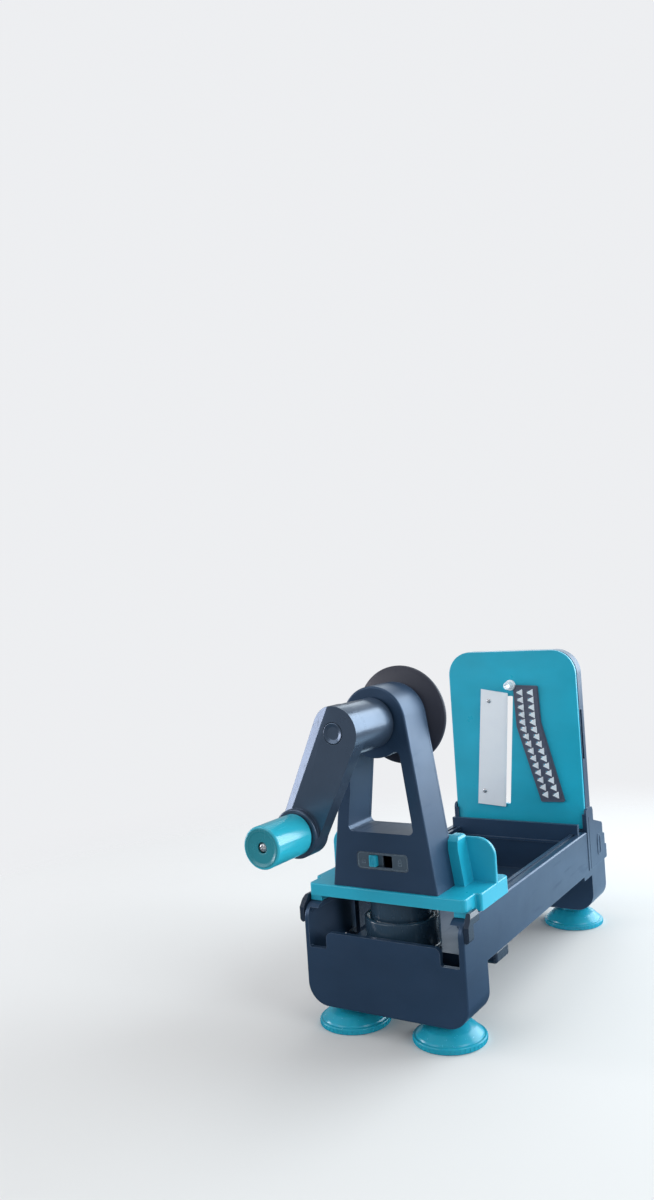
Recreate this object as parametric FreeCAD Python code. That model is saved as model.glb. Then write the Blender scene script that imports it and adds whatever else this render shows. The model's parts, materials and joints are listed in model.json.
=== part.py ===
import FreeCAD, Part
import math
import os

os.makedirs("parts", exist_ok=True)

# Hand cranked spiralizer. Millimetres, +Z up, origin on the table under the middle of the whole outline.
# +Y runs from the crank end to the blade end, +X is to the right of somebody at the crank.

# ---------------------------------------------------------------- overall sizes
base_length = 340.0
base_width = 140.0
rail_top = 98.6
strip_bottom = 58.3
leg_bottom = 18.0
shaft_height = 243.6
frame_height = shaft_height + 35.4
arm_overhang = 49.0
boss_proud = 4.0
grip_length = 42.5
foot_overhang = 7.0

# ---------------------------------------------------------------- walls and clearances
wall = 4.4
shell = 3.0
slide_gap = 0.3
seat_gap = 0.3
running_gap = 0.06
fit_gap = 0.2

half_width = base_width / 2
# the grip stands before the base and the frame's foot behind it, so the base lies off the middle
crank_overhang = arm_overhang + boss_proud + slide_gap + grip_length
front = (crank_overhang - foot_overhang - base_length) / 2
back = front + base_length
inner_half = half_width - wall

# ---------------------------------------------------------------- base
leg_length = 40.0
leg_corner = 18.0
floor_half = half_width - 20.0
floor_thick = 3.0
floor_top = strip_bottom + floor_thick
rail_width = 12.0
rail_thick = 3.6
groove_width = 3.0
groove_depth = 1.6
groove_centre = half_width - 7.5
tongue_top = strip_bottom + 19.4
notch_half = half_width - 20.0
notch_top = strip_bottom + 6.1
end_seam = back - 50.0
cross_wall_front = end_seam - 15.0
cross_wall_top = rail_top + 9.4
rear_deck_top = strip_bottom + 1.9
deck_beam_drop = 4.0
cross_lip_proud = 2.0
cross_lip_top = rail_top - 7.0
tenon_half = half_width - 30.0
tenon_front = back - 30.0
tenon_length = 18.0
tenon_top = strip_bottom + 21.7
web_run = 3.0
web_drop = 5.0
hatch_length = 9.0
end_round = 2.0
wall_round = 12.0
hook_proud = 4.2
hook_bottom = strip_bottom + 23.7
hook_length = 20.0
hook_top = rail_top + 5.2

# ---------------------------------------------------------------- suction feet
foot_radius = 28.5
foot_x = half_width * 0.6
foot_inset = 24.0
foot_lip = 4.5
stem_radius = 6.0
stem_head_radius = 9.0

# ---------------------------------------------------------------- carriage
tray_top = rail_top + 14.4
tray_front = front + 8.5
tray_rear = front + 82.0
tray_nose_half = half_width - 1.0
tray_half = half_width + 4.0
tray_step = front + 27.5
tray_plate = 3.5
tray_lip = 9.5
skirt_bottom = rail_top + 1.4
guard_front = front + 57.0
guard_thick = 4.0
guard_top = tray_top + 34.5
guard_corner = 14.0
cheek_front = front + 40.0
cheek_top = tray_top + 36.8
cheek_thick = 8.4
clamp_top = rail_top - 10.6
clamp_bottom = floor_top + 1.5
clamp_bolt_radius = 5.0
clamp_recess = 8.0
clamp_socket = 10.0
bolt_head_radius = 8.5
bolt_head_thick = 5.0
nut_radius = 6.5
nut_thick = 5.0
clamp_dish = 3.0
shoe_front = front + 58.0
shoe_rear = front + 85.0
shoe_inner = half_width - 17.0
shoe_arm = 4.0
shoe_drop = 9.5
toe_gap = 0.8

# ---------------------------------------------------------------- tower
tower_front = front + 10.4
tower_depth = 36.6
tower_rear = tower_front + tower_depth
tower_half = half_width * 0.66
clamp_y = tower_rear - 10.0
clamp_gap = 2.6
clamp_radius = clamp_y - front - wall - clamp_gap
collar_low_radius = clamp_radius - 5.4
collar_top_radius = clamp_y - tray_front - shell - slide_gap
head_radius = 28.0
cover_thick = 3.0
window_sill = tray_top + 44.5
window_head = shaft_height - 22.6
window_half_low = tower_half - 17.2
window_half_high = 21.0
window_corner = 4.0
lock_half = 22.5
lock_corner = 3.0
lock_border = 2.0
bezel_deep = 1.5
bezel_thick = 1.2
lock_low = tray_top + 15.5
lock_high = lock_low + 13.5
lock_open_left = -11.6
lock_open_right = 8.5
knob_width = 6.2
knob_proud = 1.6
knob_corner = 0.8
lock_plate_thick = 2.0
lock_plate_side = 4.0
bush_radius = 10.0
bush_flange = 14.0
bush_length = 11.0
bush_proud = 1.8
screw_shank = 1.5
screw_head = 3.0
screw_sunk = 1.5
screw_length = 4.5
screw_rise = 12.0
screw_edge = 9.0

# ---------------------------------------------------------------- crank
shaft_radius = 6.0
hub_radius = 19.6
arm_front = front - arm_overhang
arm_thick = 15.0
arm_back = arm_front + arm_thick
arm_top_radius = 20.0
arm_end_radius = 17.5
arm_reach = 83.0
arm_tilt = 25.8
arm_bevel_wide = 9.0
arm_bevel_deep = 4.0
boss_end_radius = 18.5
cap_radius = 8.0
spindle_radius = 5.0
grip_radius = 15.5
grip_counterbore = 8.0
screw_head_radius = 3.8
screw_neck = 1.95
washer_radius = 7.2
washer_thick = 1.4
socket_depth = 4.0

# ---------------------------------------------------------------- food holder disk
disk_radius = 40.0
disk_back_radius = 22.0
disk_cone = 7.0
disk_rim = 3.0
stud_length = 6.0
stud_size = 3.4
stud_pitch = 9.0
stud_plate_thick = 1.0
plate_inset = 1.5
pin_radius = 4.5
pin_length = 9.0
shaft_in_disk = 6.0

# ---------------------------------------------------------------- blade plate and end frame
plate_front = end_seam + 3.0
plate_thick = 4.0
plate_half = half_width - 2.0
plate_bottom = rail_top + 1.5
plate_top = frame_height - 2.0
plate_corner = 24.0
channel_front = end_seam + 0.6
channel_lip = 2.1
channel_half = plate_half - 1.8
frame_half = half_width + 0.5
arch_half = plate_half + 0.4
lip_top = plate_bottom + 20.0
frame_front = plate_front + plate_thick + slide_gap
frame_depth = 13.7
frame_back = frame_front + frame_depth
frame_corner = 24.0
frame_round = 1.5
opening_half = half_width - 16.0
opening_low = plate_bottom + 11.9
opening_high = frame_height - 17.0
opening_corner = 16.0
foot_back = back + foot_overhang
foot_bottom = rear_deck_top + seat_gap
foot_top = rail_top + 7.4
first_rise = 13.5
second_rise = 12.0
first_step = 4.0
second_step = 9.0
seam_start = 6.0
seam_width = 1.2
side_slot_start = 8.5
side_slot_wide = 5.0
side_slot_deep = 3.0
side_slot_low = tray_top + 55.0
side_slot_high = tray_top + 104.0
loop_inset = 16.0
loop_rise = 7.5
loop_tall = 21.0
loop_half = 5.0
loop_band = 1.8
blade_thick = 1.0
blade_pad = 1.0
rivet_radius = 2.4
rivet_shank = 1.5
hole_width = 5.0
hole_height = 3.4
tooth_strip = 0.6
tooth_height = 7.0
julienne_thick = 2.0
tooth_count = 15
slot_beside = 4.8
slot_under = 3.0
slot_inset = 3.0
core_radius = 4.0
core_wall = 0.8
core_length = 11.0
core_drop = 1.0
tooth_long = 6.2
tooth_shift = 2.0
tooth_thick = 1.0
tooth_lean = 35.0
tooth_columns = (7.5, 18.5)
hole_shift = 1.5


def vec(x, y, z):
    return FreeCAD.Vector(x, y, z)


def spot(u, v, plane, level):
    """A point of a drawing plane: xy seen from above, xz from the crank end, yz from the side."""
    if plane == "xy":
        return vec(u, v, level)
    if plane == "xz":
        return vec(u, level, v)
    return vec(level, u, v)


def along(plane, length):
    if plane == "xy":
        return vec(0, 0, length)
    if plane == "xz":
        return vec(0, length, 0)
    return vec(length, 0, 0)


def upright(solid):
    """The same solid with its faces outward."""
    if solid.Volume < 0:
        solid.reverse()
    return solid


def slab(corners, plane, level, length):
    """A flat shape with corners (u, v) or (u, v, radius), extruded from level by length."""
    rounds = [c if len(c) == 3 else (c[0], c[1], 0.0) for c in corners]
    edges = []
    stops = []
    for i, (u, v, radius) in enumerate(rounds):
        here = vec(u, v, 0)
        before = vec(rounds[i - 1][0], rounds[i - 1][1], 0) - here
        after_u, after_v, _ = rounds[(i + 1) % len(rounds)]
        after = vec(after_u, after_v, 0) - here
        before.normalize()
        after.normalize()
        if radius <= 0:
            stops.append((here, here, None))
            continue
        half = before.getAngle(after) / 2
        reach = radius / math.tan(half)
        middle = before + after
        middle.normalize()
        centre = here + middle * (radius / math.sin(half))
        crown = centre - middle * radius
        stops.append((here + before * reach, here + after * reach, crown))
    for i, (start, end, crown) in enumerate(stops):
        if crown is not None:
            arc = [spot(p.x, p.y, plane, level) for p in (start, crown, end)]
            edges.append(Part.Arc(*arc).toShape())
        following = stops[(i + 1) % len(stops)][0]
        if (following - end).Length > 1e-6:
            a = spot(end.x, end.y, plane, level)
            b = spot(following.x, following.y, plane, level)
            edges.append(Part.makeLine(a, b))
    face = Part.Face(Part.Wire(edges))
    return upright(face.extrude(along(plane, length)))


def block(x0, x1, y0, y1, z0, z1):
    return Part.makeBox(x1 - x0, y1 - y0, z1 - z0, vec(x0, y0, z0))


def rod(radius, start, length, direction):
    return Part.makeCylinder(radius, length, start, direction)


def y_rod(radius, x, z, y0, y1):
    return rod(radius, vec(x, y0, z), y1 - y0, vec(0, 1, 0))


def z_rod(radius, x, y, z0, z1):
    return rod(radius, vec(x, y, z0), z1 - z0, vec(0, 0, 1))


def y_ring(outer, inner, x, z, y0, y1):
    return y_rod(outer, x, z, y0, y1).cut(y_rod(inner, x, z, y0 - 1, y1 + 1))


def mirrored(shape):
    return shape.mirror(vec(0, 0, 0), vec(1, 0, 0))


def joined(shapes):
    """One clean shape from several that touch or overlap."""
    whole = shapes[0]
    if len(shapes) > 1:
        whole = whole.fuse(shapes[1:])
    return whole.removeSplitter()


def turned(points, x, y):
    """A solid of revolution about a vertical line at x, y, from (radius, height) points."""
    wire = Part.makePolygon([vec(x + r, y, z) for r, z in points + points[:1]])
    return upright(Part.Face(wire).revolve(vec(x, y, 0), vec(0, 0, 1), 360))


def y_turned(points, x, z):
    """A solid of revolution about a line along Y at x, z, from (radius, y) points."""
    wire = Part.makePolygon([vec(x + r, y, z) for r, y in points + points[:1]])
    return upright(Part.Face(wire).revolve(vec(x, 0, z), vec(0, 1, 0), 360))


def eased(shape, radius, chosen):
    """The shape with the chosen edges rounded, or as it was where the round doesn't fit."""
    edges = [e for e in shape.Edges if chosen(e)]
    if not edges:
        return shape
    try:
        rounded = shape.makeFillet(radius, edges)
    except Part.OCCError:
        return shape
    return rounded if rounded.isValid() and rounded.Volume > 0 else shape


def lies(edge, axis, value, slack=0.01):
    """Whether every end of an edge lies at one coordinate."""
    index = "xyz".index(axis)
    return all(abs(v.Point[index] - value) < slack for v in edge.Vertexes)


def save(name, shape):
    shape.exportStep("parts/" + name + ".step")


# ================================================================ base
def end_box(y0, y1, top):
    """A leg box open at the top: rounded lower corners, walls all round."""
    w = half_width
    outside = [(-w, leg_bottom, leg_corner), (w, leg_bottom, leg_corner), (w, top), (-w, top)]
    corner = leg_corner - wall
    i = inner_half
    low = leg_bottom + wall
    inside = [(-i, low, corner), (i, low, corner), (i, top + 1), (-i, top + 1)]
    outer = slab(outside, "xz", y0, y1 - y0)
    return outer.cut(slab(inside, "xz", y0 + wall, y1 - y0 - 2 * wall))


def front_panel():
    """The upright front wall with its raised tongue between two notches."""
    rim = [
        (-half_width, strip_bottom),
        (half_width, strip_bottom),
        (half_width, rail_top, 3.0),
        (inner_half, rail_top),
        (inner_half, notch_top, 1.0),
        (notch_half, notch_top, 1.5),
        (notch_half, tongue_top, 5.0),
        (-notch_half, tongue_top, 5.0),
        (-notch_half, notch_top, 1.5),
        (-inner_half, notch_top, 1.0),
        (-inner_half, rail_top),
        (-half_width, rail_top, 3.0),
    ]
    return slab(rim, "xz", front, wall)


def side_strip():
    """The right side wall with its rail: wall, top flange and groove."""
    strip = block(inner_half, half_width, front, end_seam, strip_bottom, rail_top)
    flange = block(half_width - rail_width, half_width, front, end_seam, rail_top - rail_thick, rail_top)
    # a sloping web under the flange keeps the rail stiff
    web = [
        (inner_half - web_run, rail_top - rail_thick),
        (inner_half, rail_top - rail_thick),
        (inner_half, rail_top - rail_thick - web_drop),
    ]
    strip = strip.fuse([flange, slab(web, "xz", front + wall, end_seam - front - wall)])
    g = groove_width / 2
    left, right = groove_centre - g, groove_centre + g
    groove_start = tray_front + 5.0
    return strip.cut(block(left, right, groove_start, end_seam + 1, rail_top - groove_depth, rail_top + 1))


def base_housing():
    front_box = end_box(front, front + leg_length, floor_top)
    rear_box = end_box(back - leg_length - 2, back, rear_deck_top)
    deck = block(-half_width, half_width, cross_wall_front, back, strip_bottom, rear_deck_top)
    deck_beam = block(-half_width, half_width, cross_wall_front, back - leg_length,
                      strip_bottom - deck_beam_drop, strip_bottom)
    floor_start = front + leg_length - wall
    cross_end = cross_wall_front + wall
    floor = block(-floor_half, floor_half, floor_start, cross_wall_front + 1, strip_bottom, floor_top)
    cross = block(-inner_half - 0.5, inner_half + 0.5, cross_wall_front, cross_end, strip_bottom,
                  cross_wall_top)
    cross_lip = block(-inner_half, inner_half, cross_wall_front - cross_lip_proud, cross_wall_front + 1,
                      cross_lip_top - 2.0, cross_lip_top)
    tenon_end = tenon_front + tenon_length
    tenon = block(-tenon_half, tenon_half, tenon_front, tenon_end, strip_bottom, tenon_top)
    tenon = tenon.cut(block(-tenon_half + wall, tenon_half - wall, tenon_front + wall, tenon_end - wall,
                            strip_bottom - 1, tenon_top - wall))
    strip = side_strip()
    r = wall_round
    corner = block(-half_width - 1, half_width + 1, front - 1, front + r, rail_top - r, rail_top + 1)
    start = vec(-half_width - 2, front + r, rail_top - r)
    corner = corner.cut(rod(r, start, 2 * half_width + 4, vec(1, 0, 0)))
    body = joined([front_box, rear_box, deck, deck_beam, floor, cross, cross_lip, tenon, front_panel(),
                   strip, mirrored(strip)]).cut(corner)
    for x in (-foot_x, foot_x):
        for y in (front + foot_inset, back - foot_inset):
            body = body.cut(z_rod(stem_radius + fit_gap, x, y, leg_bottom - 1, leg_bottom + wall + 1))
    # the rear leg box is open below its deck so its stems can be reached
    hatch_start = back - leg_length
    hatch = block(-floor_half, floor_half, hatch_start, hatch_start + hatch_length,
                  strip_bottom - deck_beam_drop - 1, rear_deck_top + 1)
    body = body.cut(hatch)
    body = eased(body, end_round, lambda e: lies(e, "y", front) and lies(e, "x", half_width) or
                 lies(e, "y", front) and lies(e, "x", -half_width))
    return body


save("base_housing", base_housing())


def hold_down_hook():
    """The right front stop: it stands outside the rail and rises beside the carriage."""
    outer = half_width + hook_proud
    profile = [
        (half_width + 0.1, hook_bottom, 1.5),
        (outer, hook_bottom + 2.5, 3.0),
        (outer, hook_top - 3.5, 3.0),
        (outer - 1.5, hook_top, 1.5),
        (tray_nose_half + slide_gap + 0.3, hook_top, 1.0),
        (tray_nose_half + slide_gap + 0.3, rail_top + 0.2),
        (half_width + 0.1, rail_top + 0.2),
    ]
    hook = slab(profile, "xz", front + 1.0, hook_length)
    # the upper part leans back, so its front edge slopes
    slope = [
        (front - 1.0, rail_top - 6.0),
        (front + 9.0, hook_top + 1.0),
        (front - 1.0, hook_top + 1.0),
    ]
    low_rear = block(half_width - 2, outer + 1, front + hook_length / 2, front + hook_length + 2,
                     hook_bottom - 1, rail_top - 3.0)
    return hook.cut(slab(slope, "yz", half_width - 3, 10.0)).cut(low_rear)


hook_right = hold_down_hook()
save("hold_down_hook_right", hook_right)
save("hold_down_hook_left", mirrored(hook_right))


def suction_foot(x, y):
    """A rubber cup: flanged lip, domed top, hollow underside, and a stem with a snap head."""
    top = leg_bottom
    neck = stem_radius
    head_low = top + wall + 0.1
    points = [
        (0.0, 7.0),
        (10.0, 6.0),
        (20.0, 3.0),
        (foot_radius - 4.0, 0.0),
        (foot_radius, 0.0),
        (foot_radius, foot_lip),
        (foot_radius - 2.5, foot_lip + 1.5),
        (foot_radius - 6.0, 9.5),
        (foot_radius - 11.0, 14.5),
        (13.0, 17.0),
        (11.0, top),
        (neck, top),
        (neck, head_low),
        (stem_head_radius, head_low),
        (stem_head_radius - 1.0, head_low + 2.5),
        (neck - 1.0, head_low + 5.0),
        (0.0, head_low + 5.0),
    ]
    return turned(points, x, y)


for side, x in (("left", -foot_x), ("right", foot_x)):
    save("suction_foot_front_" + side, suction_foot(x, front + foot_inset))
    save("suction_foot_rear_" + side, suction_foot(x, back - foot_inset))


# ================================================================ tower outline
def tangent_from(half, low, radius):
    """Where a line up from (half, low) just touches the round head."""
    reach = math.hypot(half, shaft_height - low)
    lean = math.atan2(half, shaft_height - low)
    open_angle = math.asin(radius / reach)
    touch = math.sqrt(reach * reach - radius * radius)
    angle = lean - open_angle
    return half - touch * math.sin(angle), low + touch * math.cos(angle)


def tower_outline(inset, low, y0, depth):
    """The A shaped outline with its round head, drawn in by inset and extruded along Y."""
    radius = head_radius - inset
    slope = flank_slope()
    half = tower_half - slope * (low - tray_top) - inset * math.sqrt(1 + slope * slope)
    u, v = tangent_from(half, low, radius)
    right = vec(u, y0, v)
    left = vec(-u, y0, v)
    foot_right = vec(half, y0, low)
    foot_left = vec(-half, y0, low)
    crown = vec(0, y0, shaft_height + radius)
    edges = [
        Part.makeLine(foot_left, foot_right),
        Part.makeLine(foot_right, right),
        Part.Arc(right, crown, left).toShape(),
        Part.makeLine(left, foot_left),
    ]
    return upright(Part.Face(Part.Wire(edges)).extrude(vec(0, depth, 0)))


def flank_slope():
    """How much the tower narrows on each side per millimetre of height."""
    u, v = tangent_from(tower_half, tray_top, head_radius)
    return (tower_half - u) / (v - tray_top)


def flank(z, y0, y1, outset, thick, low, high):
    """A leaning plate that follows the right flank of the tower."""
    slope = flank_slope()
    start = tower_half + outset - slope * (low - tray_top)
    end = tower_half + outset - slope * (high - tray_top)
    plate = [(start, low), (start + thick, low), (end + thick, high, 3.0), (end, high)]
    return slab(plate, "xz", y0, y1 - y0)


def window(grow, y0, depth):
    """The opening through the tower, its top curved round the shaft boss."""
    low = window_sill - grow
    high = window_head + grow
    corner = window_corner + grow
    shape = slab([
        (-window_half_low - grow, low, corner),
        (window_half_low + grow, low, corner),
        (window_half_high + grow, high, corner),
        (-window_half_high - grow, high, corner),
    ], "xz", y0, depth)
    return shape.cut(y_rod(head_radius - grow, 0, shaft_height, y0 - 1, y0 + depth + 1))


def tower_shell():
    outer = tower_outline(0, tray_top, tower_front, tower_depth - cover_thick - fit_gap)
    rim = eased(outer, 1.6, lambda e: lies(e, "y", tower_front) and not lies(e, "z", tray_top))
    depth = tower_depth
    hollow = tower_outline(shell, tray_top + 4.0, tower_front + shell, depth)
    keep = [
        window(shell, tower_front, depth),
        y_rod(bush_radius + 4.0, 0, shaft_height, tower_front, tower_rear),
    ]
    hollow = hollow.cut(keep)
    body = rim.cut(hollow).cut(window(0, tower_front - 1, depth + 2))
    body = body.cut(y_rod(bush_radius, 0, shaft_height, tower_front - 1, tower_rear + 1))
    bezel = slab([
        (-lock_half, lock_low, lock_corner),
        (lock_half, lock_low, lock_corner),
        (lock_half, lock_high, lock_corner),
        (-lock_half, lock_high, lock_corner),
    ], "xz", tower_front - 1, 1 + bezel_deep)
    body = body.cut(bezel).cut(lock_opening())
    body = body.cut(z_rod(clamp_bolt_radius + fit_gap, 0, clamp_y, tray_top - 1, tray_top + 5))
    return body


def lock_opening():
    low = lock_low + lock_border
    high = lock_high - lock_border
    return slab([
        (lock_open_left, low, 1.0),
        (lock_open_right, low, 1.0),
        (lock_open_right, high, 1.0),
        (lock_open_left, high, 1.0),
    ], "xz", tower_front - 1, shell + 2)


def tower_cover():
    cover = tower_outline(0, tray_top, tower_rear - cover_thick, cover_thick)
    cover = eased(cover, 1.2, lambda e: lies(e, "y", tower_rear) and not lies(e, "z", tray_top))
    cover = cover.cut(window(0, tower_rear - cover_thick - 1, cover_thick + 2))
    cover = cover.cut(y_rod(bush_radius, 0, shaft_height, tower_rear - 5, tower_rear + 1))
    for x, z in tower_screw_spots():
        cover = cover.cut(y_rod(screw_shank, x, z, tower_rear - 5, tower_rear + 1))
        cover = cover.cut(y_rod(screw_head + fit_gap, x, z, tower_rear - screw_sunk, tower_rear + 1))
    return cover


def tower_screw_spots():
    near = tower_half - flank_slope() * screw_rise - screw_edge
    far = (bush_flange + head_radius) / 2
    spots = [(near, tray_top + screw_rise), (far, shaft_height)]
    return spots + [(-x, z) for x, z in spots]


def cover_screw(x, z):
    """A pan head screw whose head lies just below the face of the cover."""
    under_head = tower_rear - screw_sunk
    head = y_rod(screw_head, x, z, under_head, tower_rear - fit_gap)
    shank = y_rod(screw_shank, x, z, under_head - screw_length, under_head)
    return head.fuse(shank).removeSplitter()


save("tower_shell", tower_shell())
save("tower_cover", tower_cover())
save("tower_screws", Part.makeCompound([cover_screw(x, z) for x, z in tower_screw_spots()]))

bezel_half = lock_half - fit_gap
bezel_corner = lock_corner - fit_gap
bezel_plate = slab([
    (-bezel_half, lock_low + fit_gap, bezel_corner),
    (bezel_half, lock_low + fit_gap, bezel_corner),
    (bezel_half, lock_high - fit_gap, bezel_corner),
    (-bezel_half, lock_high - fit_gap, bezel_corner),
], "xz", tower_front + bezel_deep - bezel_thick, bezel_thick).cut(lock_opening())
save("lock_bezel", bezel_plate)

knob_left = lock_open_left + slide_gap
knob_right = knob_left + knob_width
knob_low = lock_low + lock_border + slide_gap
knob_high = lock_high - lock_border - slide_gap
plate_y = tower_front + shell + slide_gap
knob = slab([
    (knob_left, knob_low, knob_corner),
    (knob_right, knob_low, knob_corner),
    (knob_right, knob_high, knob_corner),
    (knob_left, knob_high, knob_corner),
], "xz", tower_front - knob_proud, plate_y - tower_front + knob_proud)
save("lock_knob", knob)
lock_plate = block(knob_left - lock_plate_side, knob_right + lock_plate_side, plate_y,
                   plate_y + lock_plate_thick, lock_low - 1, lock_high + 1)
save("lock_plate", lock_plate)


def bushing(face_y, way):
    """A flanged bearing bush. Its flange lies outside the tower face, way gives the outward side."""
    flange_y = sorted((face_y, face_y + way * bush_proud))
    sleeve_y = sorted((face_y, face_y - way * bush_length))
    flange = y_rod(bush_flange, 0, shaft_height, *flange_y)
    sleeve = y_rod(bush_radius, 0, shaft_height, *sleeve_y)
    bore = y_rod(shaft_radius + running_gap, 0, shaft_height, sleeve_y[0] - 5, sleeve_y[1] + 5)
    return flange.fuse(sleeve).removeSplitter().cut(bore)


save("front_bushing", bushing(tower_front, -1))
save("rear_bushing", bushing(tower_rear, 1))


# ================================================================ carriage
def tray():
    """The sliding tray: plate, lips, runners, hand guard and cheeks."""
    plan = [
        (-tray_nose_half, tray_front, 4.0),
        (tray_nose_half, tray_front, 4.0),
        (tray_nose_half, tray_step, 1.0),
        (tray_half, tray_step, 2.5),
        (tray_half, tray_rear, 5.0),
        (-tray_half, tray_rear, 5.0),
        (-tray_half, tray_step, 2.5),
        (-tray_nose_half, tray_step, 1.0),
    ]
    body = slab(plan, "xy", skirt_bottom, tray_top - skirt_bottom)
    # the nose is shallower than the skirts
    body = body.cut(block(-tray_half - 1, tray_half + 1, tray_front - 1, tray_step - 1, skirt_bottom - 1,
                          tray_top - tray_lip))
    w = shell
    pocket = [
        (-tray_nose_half + w, tray_front + w, 2.0),
        (tray_nose_half - w, tray_front + w, 2.0),
        (tray_nose_half - w, tray_step + w, 1.0),
        (tray_half - w, tray_step + w, 1.0),
        (tray_half - w, tray_rear - w, 2.0),
        (-tray_half + w, tray_rear - w, 2.0),
        (-tray_half + w, tray_step + w, 1.0),
        (-tray_nose_half + w, tray_step + w, 1.0),
    ]
    body = body.cut(slab(pocket, "xy", skirt_bottom - 1, tray_top - tray_plate - skirt_bottom + 1))
    body = eased(body, 1.2, lambda e: lies(e, "z", tray_top))
    guard = slab([
        (-tray_half, tray_top - 1, 0),
        (tray_half, tray_top - 1, 0),
        (tray_half, guard_top, guard_corner),
        (-tray_half, guard_top, guard_corner),
    ], "xz", guard_front, guard_thick)
    guard_rear = guard_front + guard_thick
    guard = eased(guard, 1.2, lambda e: (lies(e, "y", guard_front) or lies(e, "y", guard_rear))
                  and not lies(e, "z", tray_top - 1))
    cheek = flank(0, cheek_front, guard_front + 1, fit_gap, cheek_thick, tray_top - 1, cheek_top)
    # the upper front corner of each cheek is rounded off
    corner = [
        (cheek_front - 1, cheek_top - 9.0),
        (cheek_front, cheek_top - 9.0),
        (cheek_front + 2.0, cheek_top - 3.0),
        (cheek_front + 7.0, cheek_top),
        (cheek_front + 7.0, cheek_top + 1),
        (cheek_front - 1, cheek_top + 1),
    ]
    cheek = cheek.cut(slab(corner, "yz", 0, tray_half))
    runner = block(half_width - rail_width + 0.5, tray_nose_half - 0.5, tray_front + 2.0, tray_rear - 2.0,
                   rail_top + slide_gap, tray_top - 1)
    tongue_wide = groove_width / 2 - slide_gap
    tongue = block(groove_centre - tongue_wide, groove_centre + tongue_wide, tray_front + 6.0,
                   tray_rear - 6.0, rail_top - groove_depth + 0.6, rail_top + 1)
    side = runner.fuse(tongue)
    body = joined([body, guard, cheek, mirrored(cheek), side, mirrored(side)])
    body = body.cut(z_rod(clamp_bolt_radius + fit_gap, 0, clamp_y, 0, tray_top + 1))
    return body


save("carriage_tray", tray())


def clamp_hub():
    """The round hub that draws the tower down: a rounded rim and a collar up to the tray, hollow below."""
    low = clamp_bottom
    high = clamp_top
    r = clamp_radius
    seat = tray_top - tray_plate
    ribs = [
        (clamp_bolt_radius + fit_gap, low + clamp_recess),
        (clamp_socket, low + clamp_recess),
        (clamp_socket, seat - shell),
        (collar_top_radius - shell, seat - shell),
        (collar_low_radius - shell, high - 7.0),
        (r - shell, high - 7.0),
        (r - shell, low),
        (r, low),
        (r, high - 2.2),
        (r - 0.7, high - 0.6),
        (r - 1.6, high),
        (r - 2.2, high),
        (collar_low_radius + 0.4, high - clamp_dish),
        (collar_low_radius, high - clamp_dish),
        (collar_top_radius, seat),
        (clamp_bolt_radius + fit_gap, seat),
    ]
    return turned(ribs, 0, clamp_y)


save("clamp_hub", clamp_hub())
bolt_seat = clamp_bottom + clamp_recess
nut_low = tray_top + shell + 1.0
bolt = z_rod(clamp_bolt_radius, 0, clamp_y, bolt_seat, nut_low + nut_thick + 1.0)
bolt_head = z_rod(bolt_head_radius, 0, clamp_y, bolt_seat - bolt_head_thick, bolt_seat)
nut = z_rod(nut_radius, 0, clamp_y, nut_low, nut_low + nut_thick)
save("clamp_bolt", joined([bolt, bolt_head, nut]))


def guide_shoe():
    """The right shoe: an arm down inside the base and a toe under the side wall."""
    toe_top = strip_bottom - toe_gap
    arm = block(shoe_inner, shoe_inner + shoe_arm, shoe_front, tray_rear - shell, toe_top - shoe_drop,
                tray_top - tray_plate)
    toe = slab([
        (shoe_inner, toe_top),
        (half_width - toe_gap, toe_top, 1.0),
        (half_width - toe_gap, toe_top - shoe_drop, 3.0),
        (shoe_inner, toe_top - shoe_drop, 1.0),
    ], "xz", shoe_front, shoe_rear - shoe_front)
    shoe = joined([arm, toe])
    return eased(shoe, 3.5, lambda e: lies(e, "z", toe_top - shoe_drop) and
                 (lies(e, "y", shoe_front) or lies(e, "y", shoe_rear)))


shoe_right = guide_shoe()
save("guide_shoe_right", shoe_right)
save("guide_shoe_left", mirrored(shoe_right))


# ================================================================ crank
def tilted(shape):
    """Turns a shape drawn with the arm hanging straight down to its resting angle."""
    shape.rotate(vec(0, 0, shaft_height), vec(0, 1, 0), arm_tilt)
    return shape


def lobes(y0, y1, top_radius, end_radius):
    """Two rounds joined by their outer tangents, the outline of the arm."""
    drop = arm_reach
    lean = math.asin((top_radius - end_radius) / drop)
    c = math.cos(lean)
    s = math.sin(lean)
    z_end = shaft_height - drop
    top_z = shaft_height - top_radius * s
    low_z = z_end - end_radius * s
    top_left = vec(-top_radius * c, y0, top_z)
    top_right = vec(top_radius * c, y0, top_z)
    low_left = vec(-end_radius * c, y0, low_z)
    low_right = vec(end_radius * c, y0, low_z)
    edges = [
        Part.Arc(top_left, vec(0, y0, shaft_height + top_radius), top_right).toShape(),
        Part.makeLine(top_right, low_right),
        Part.Arc(low_right, vec(0, y0, z_end - end_radius), low_left).toShape(),
        Part.makeLine(low_left, top_left),
    ]
    return upright(Part.Face(Part.Wire(edges)).extrude(vec(0, y1 - y0, 0)))


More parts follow.
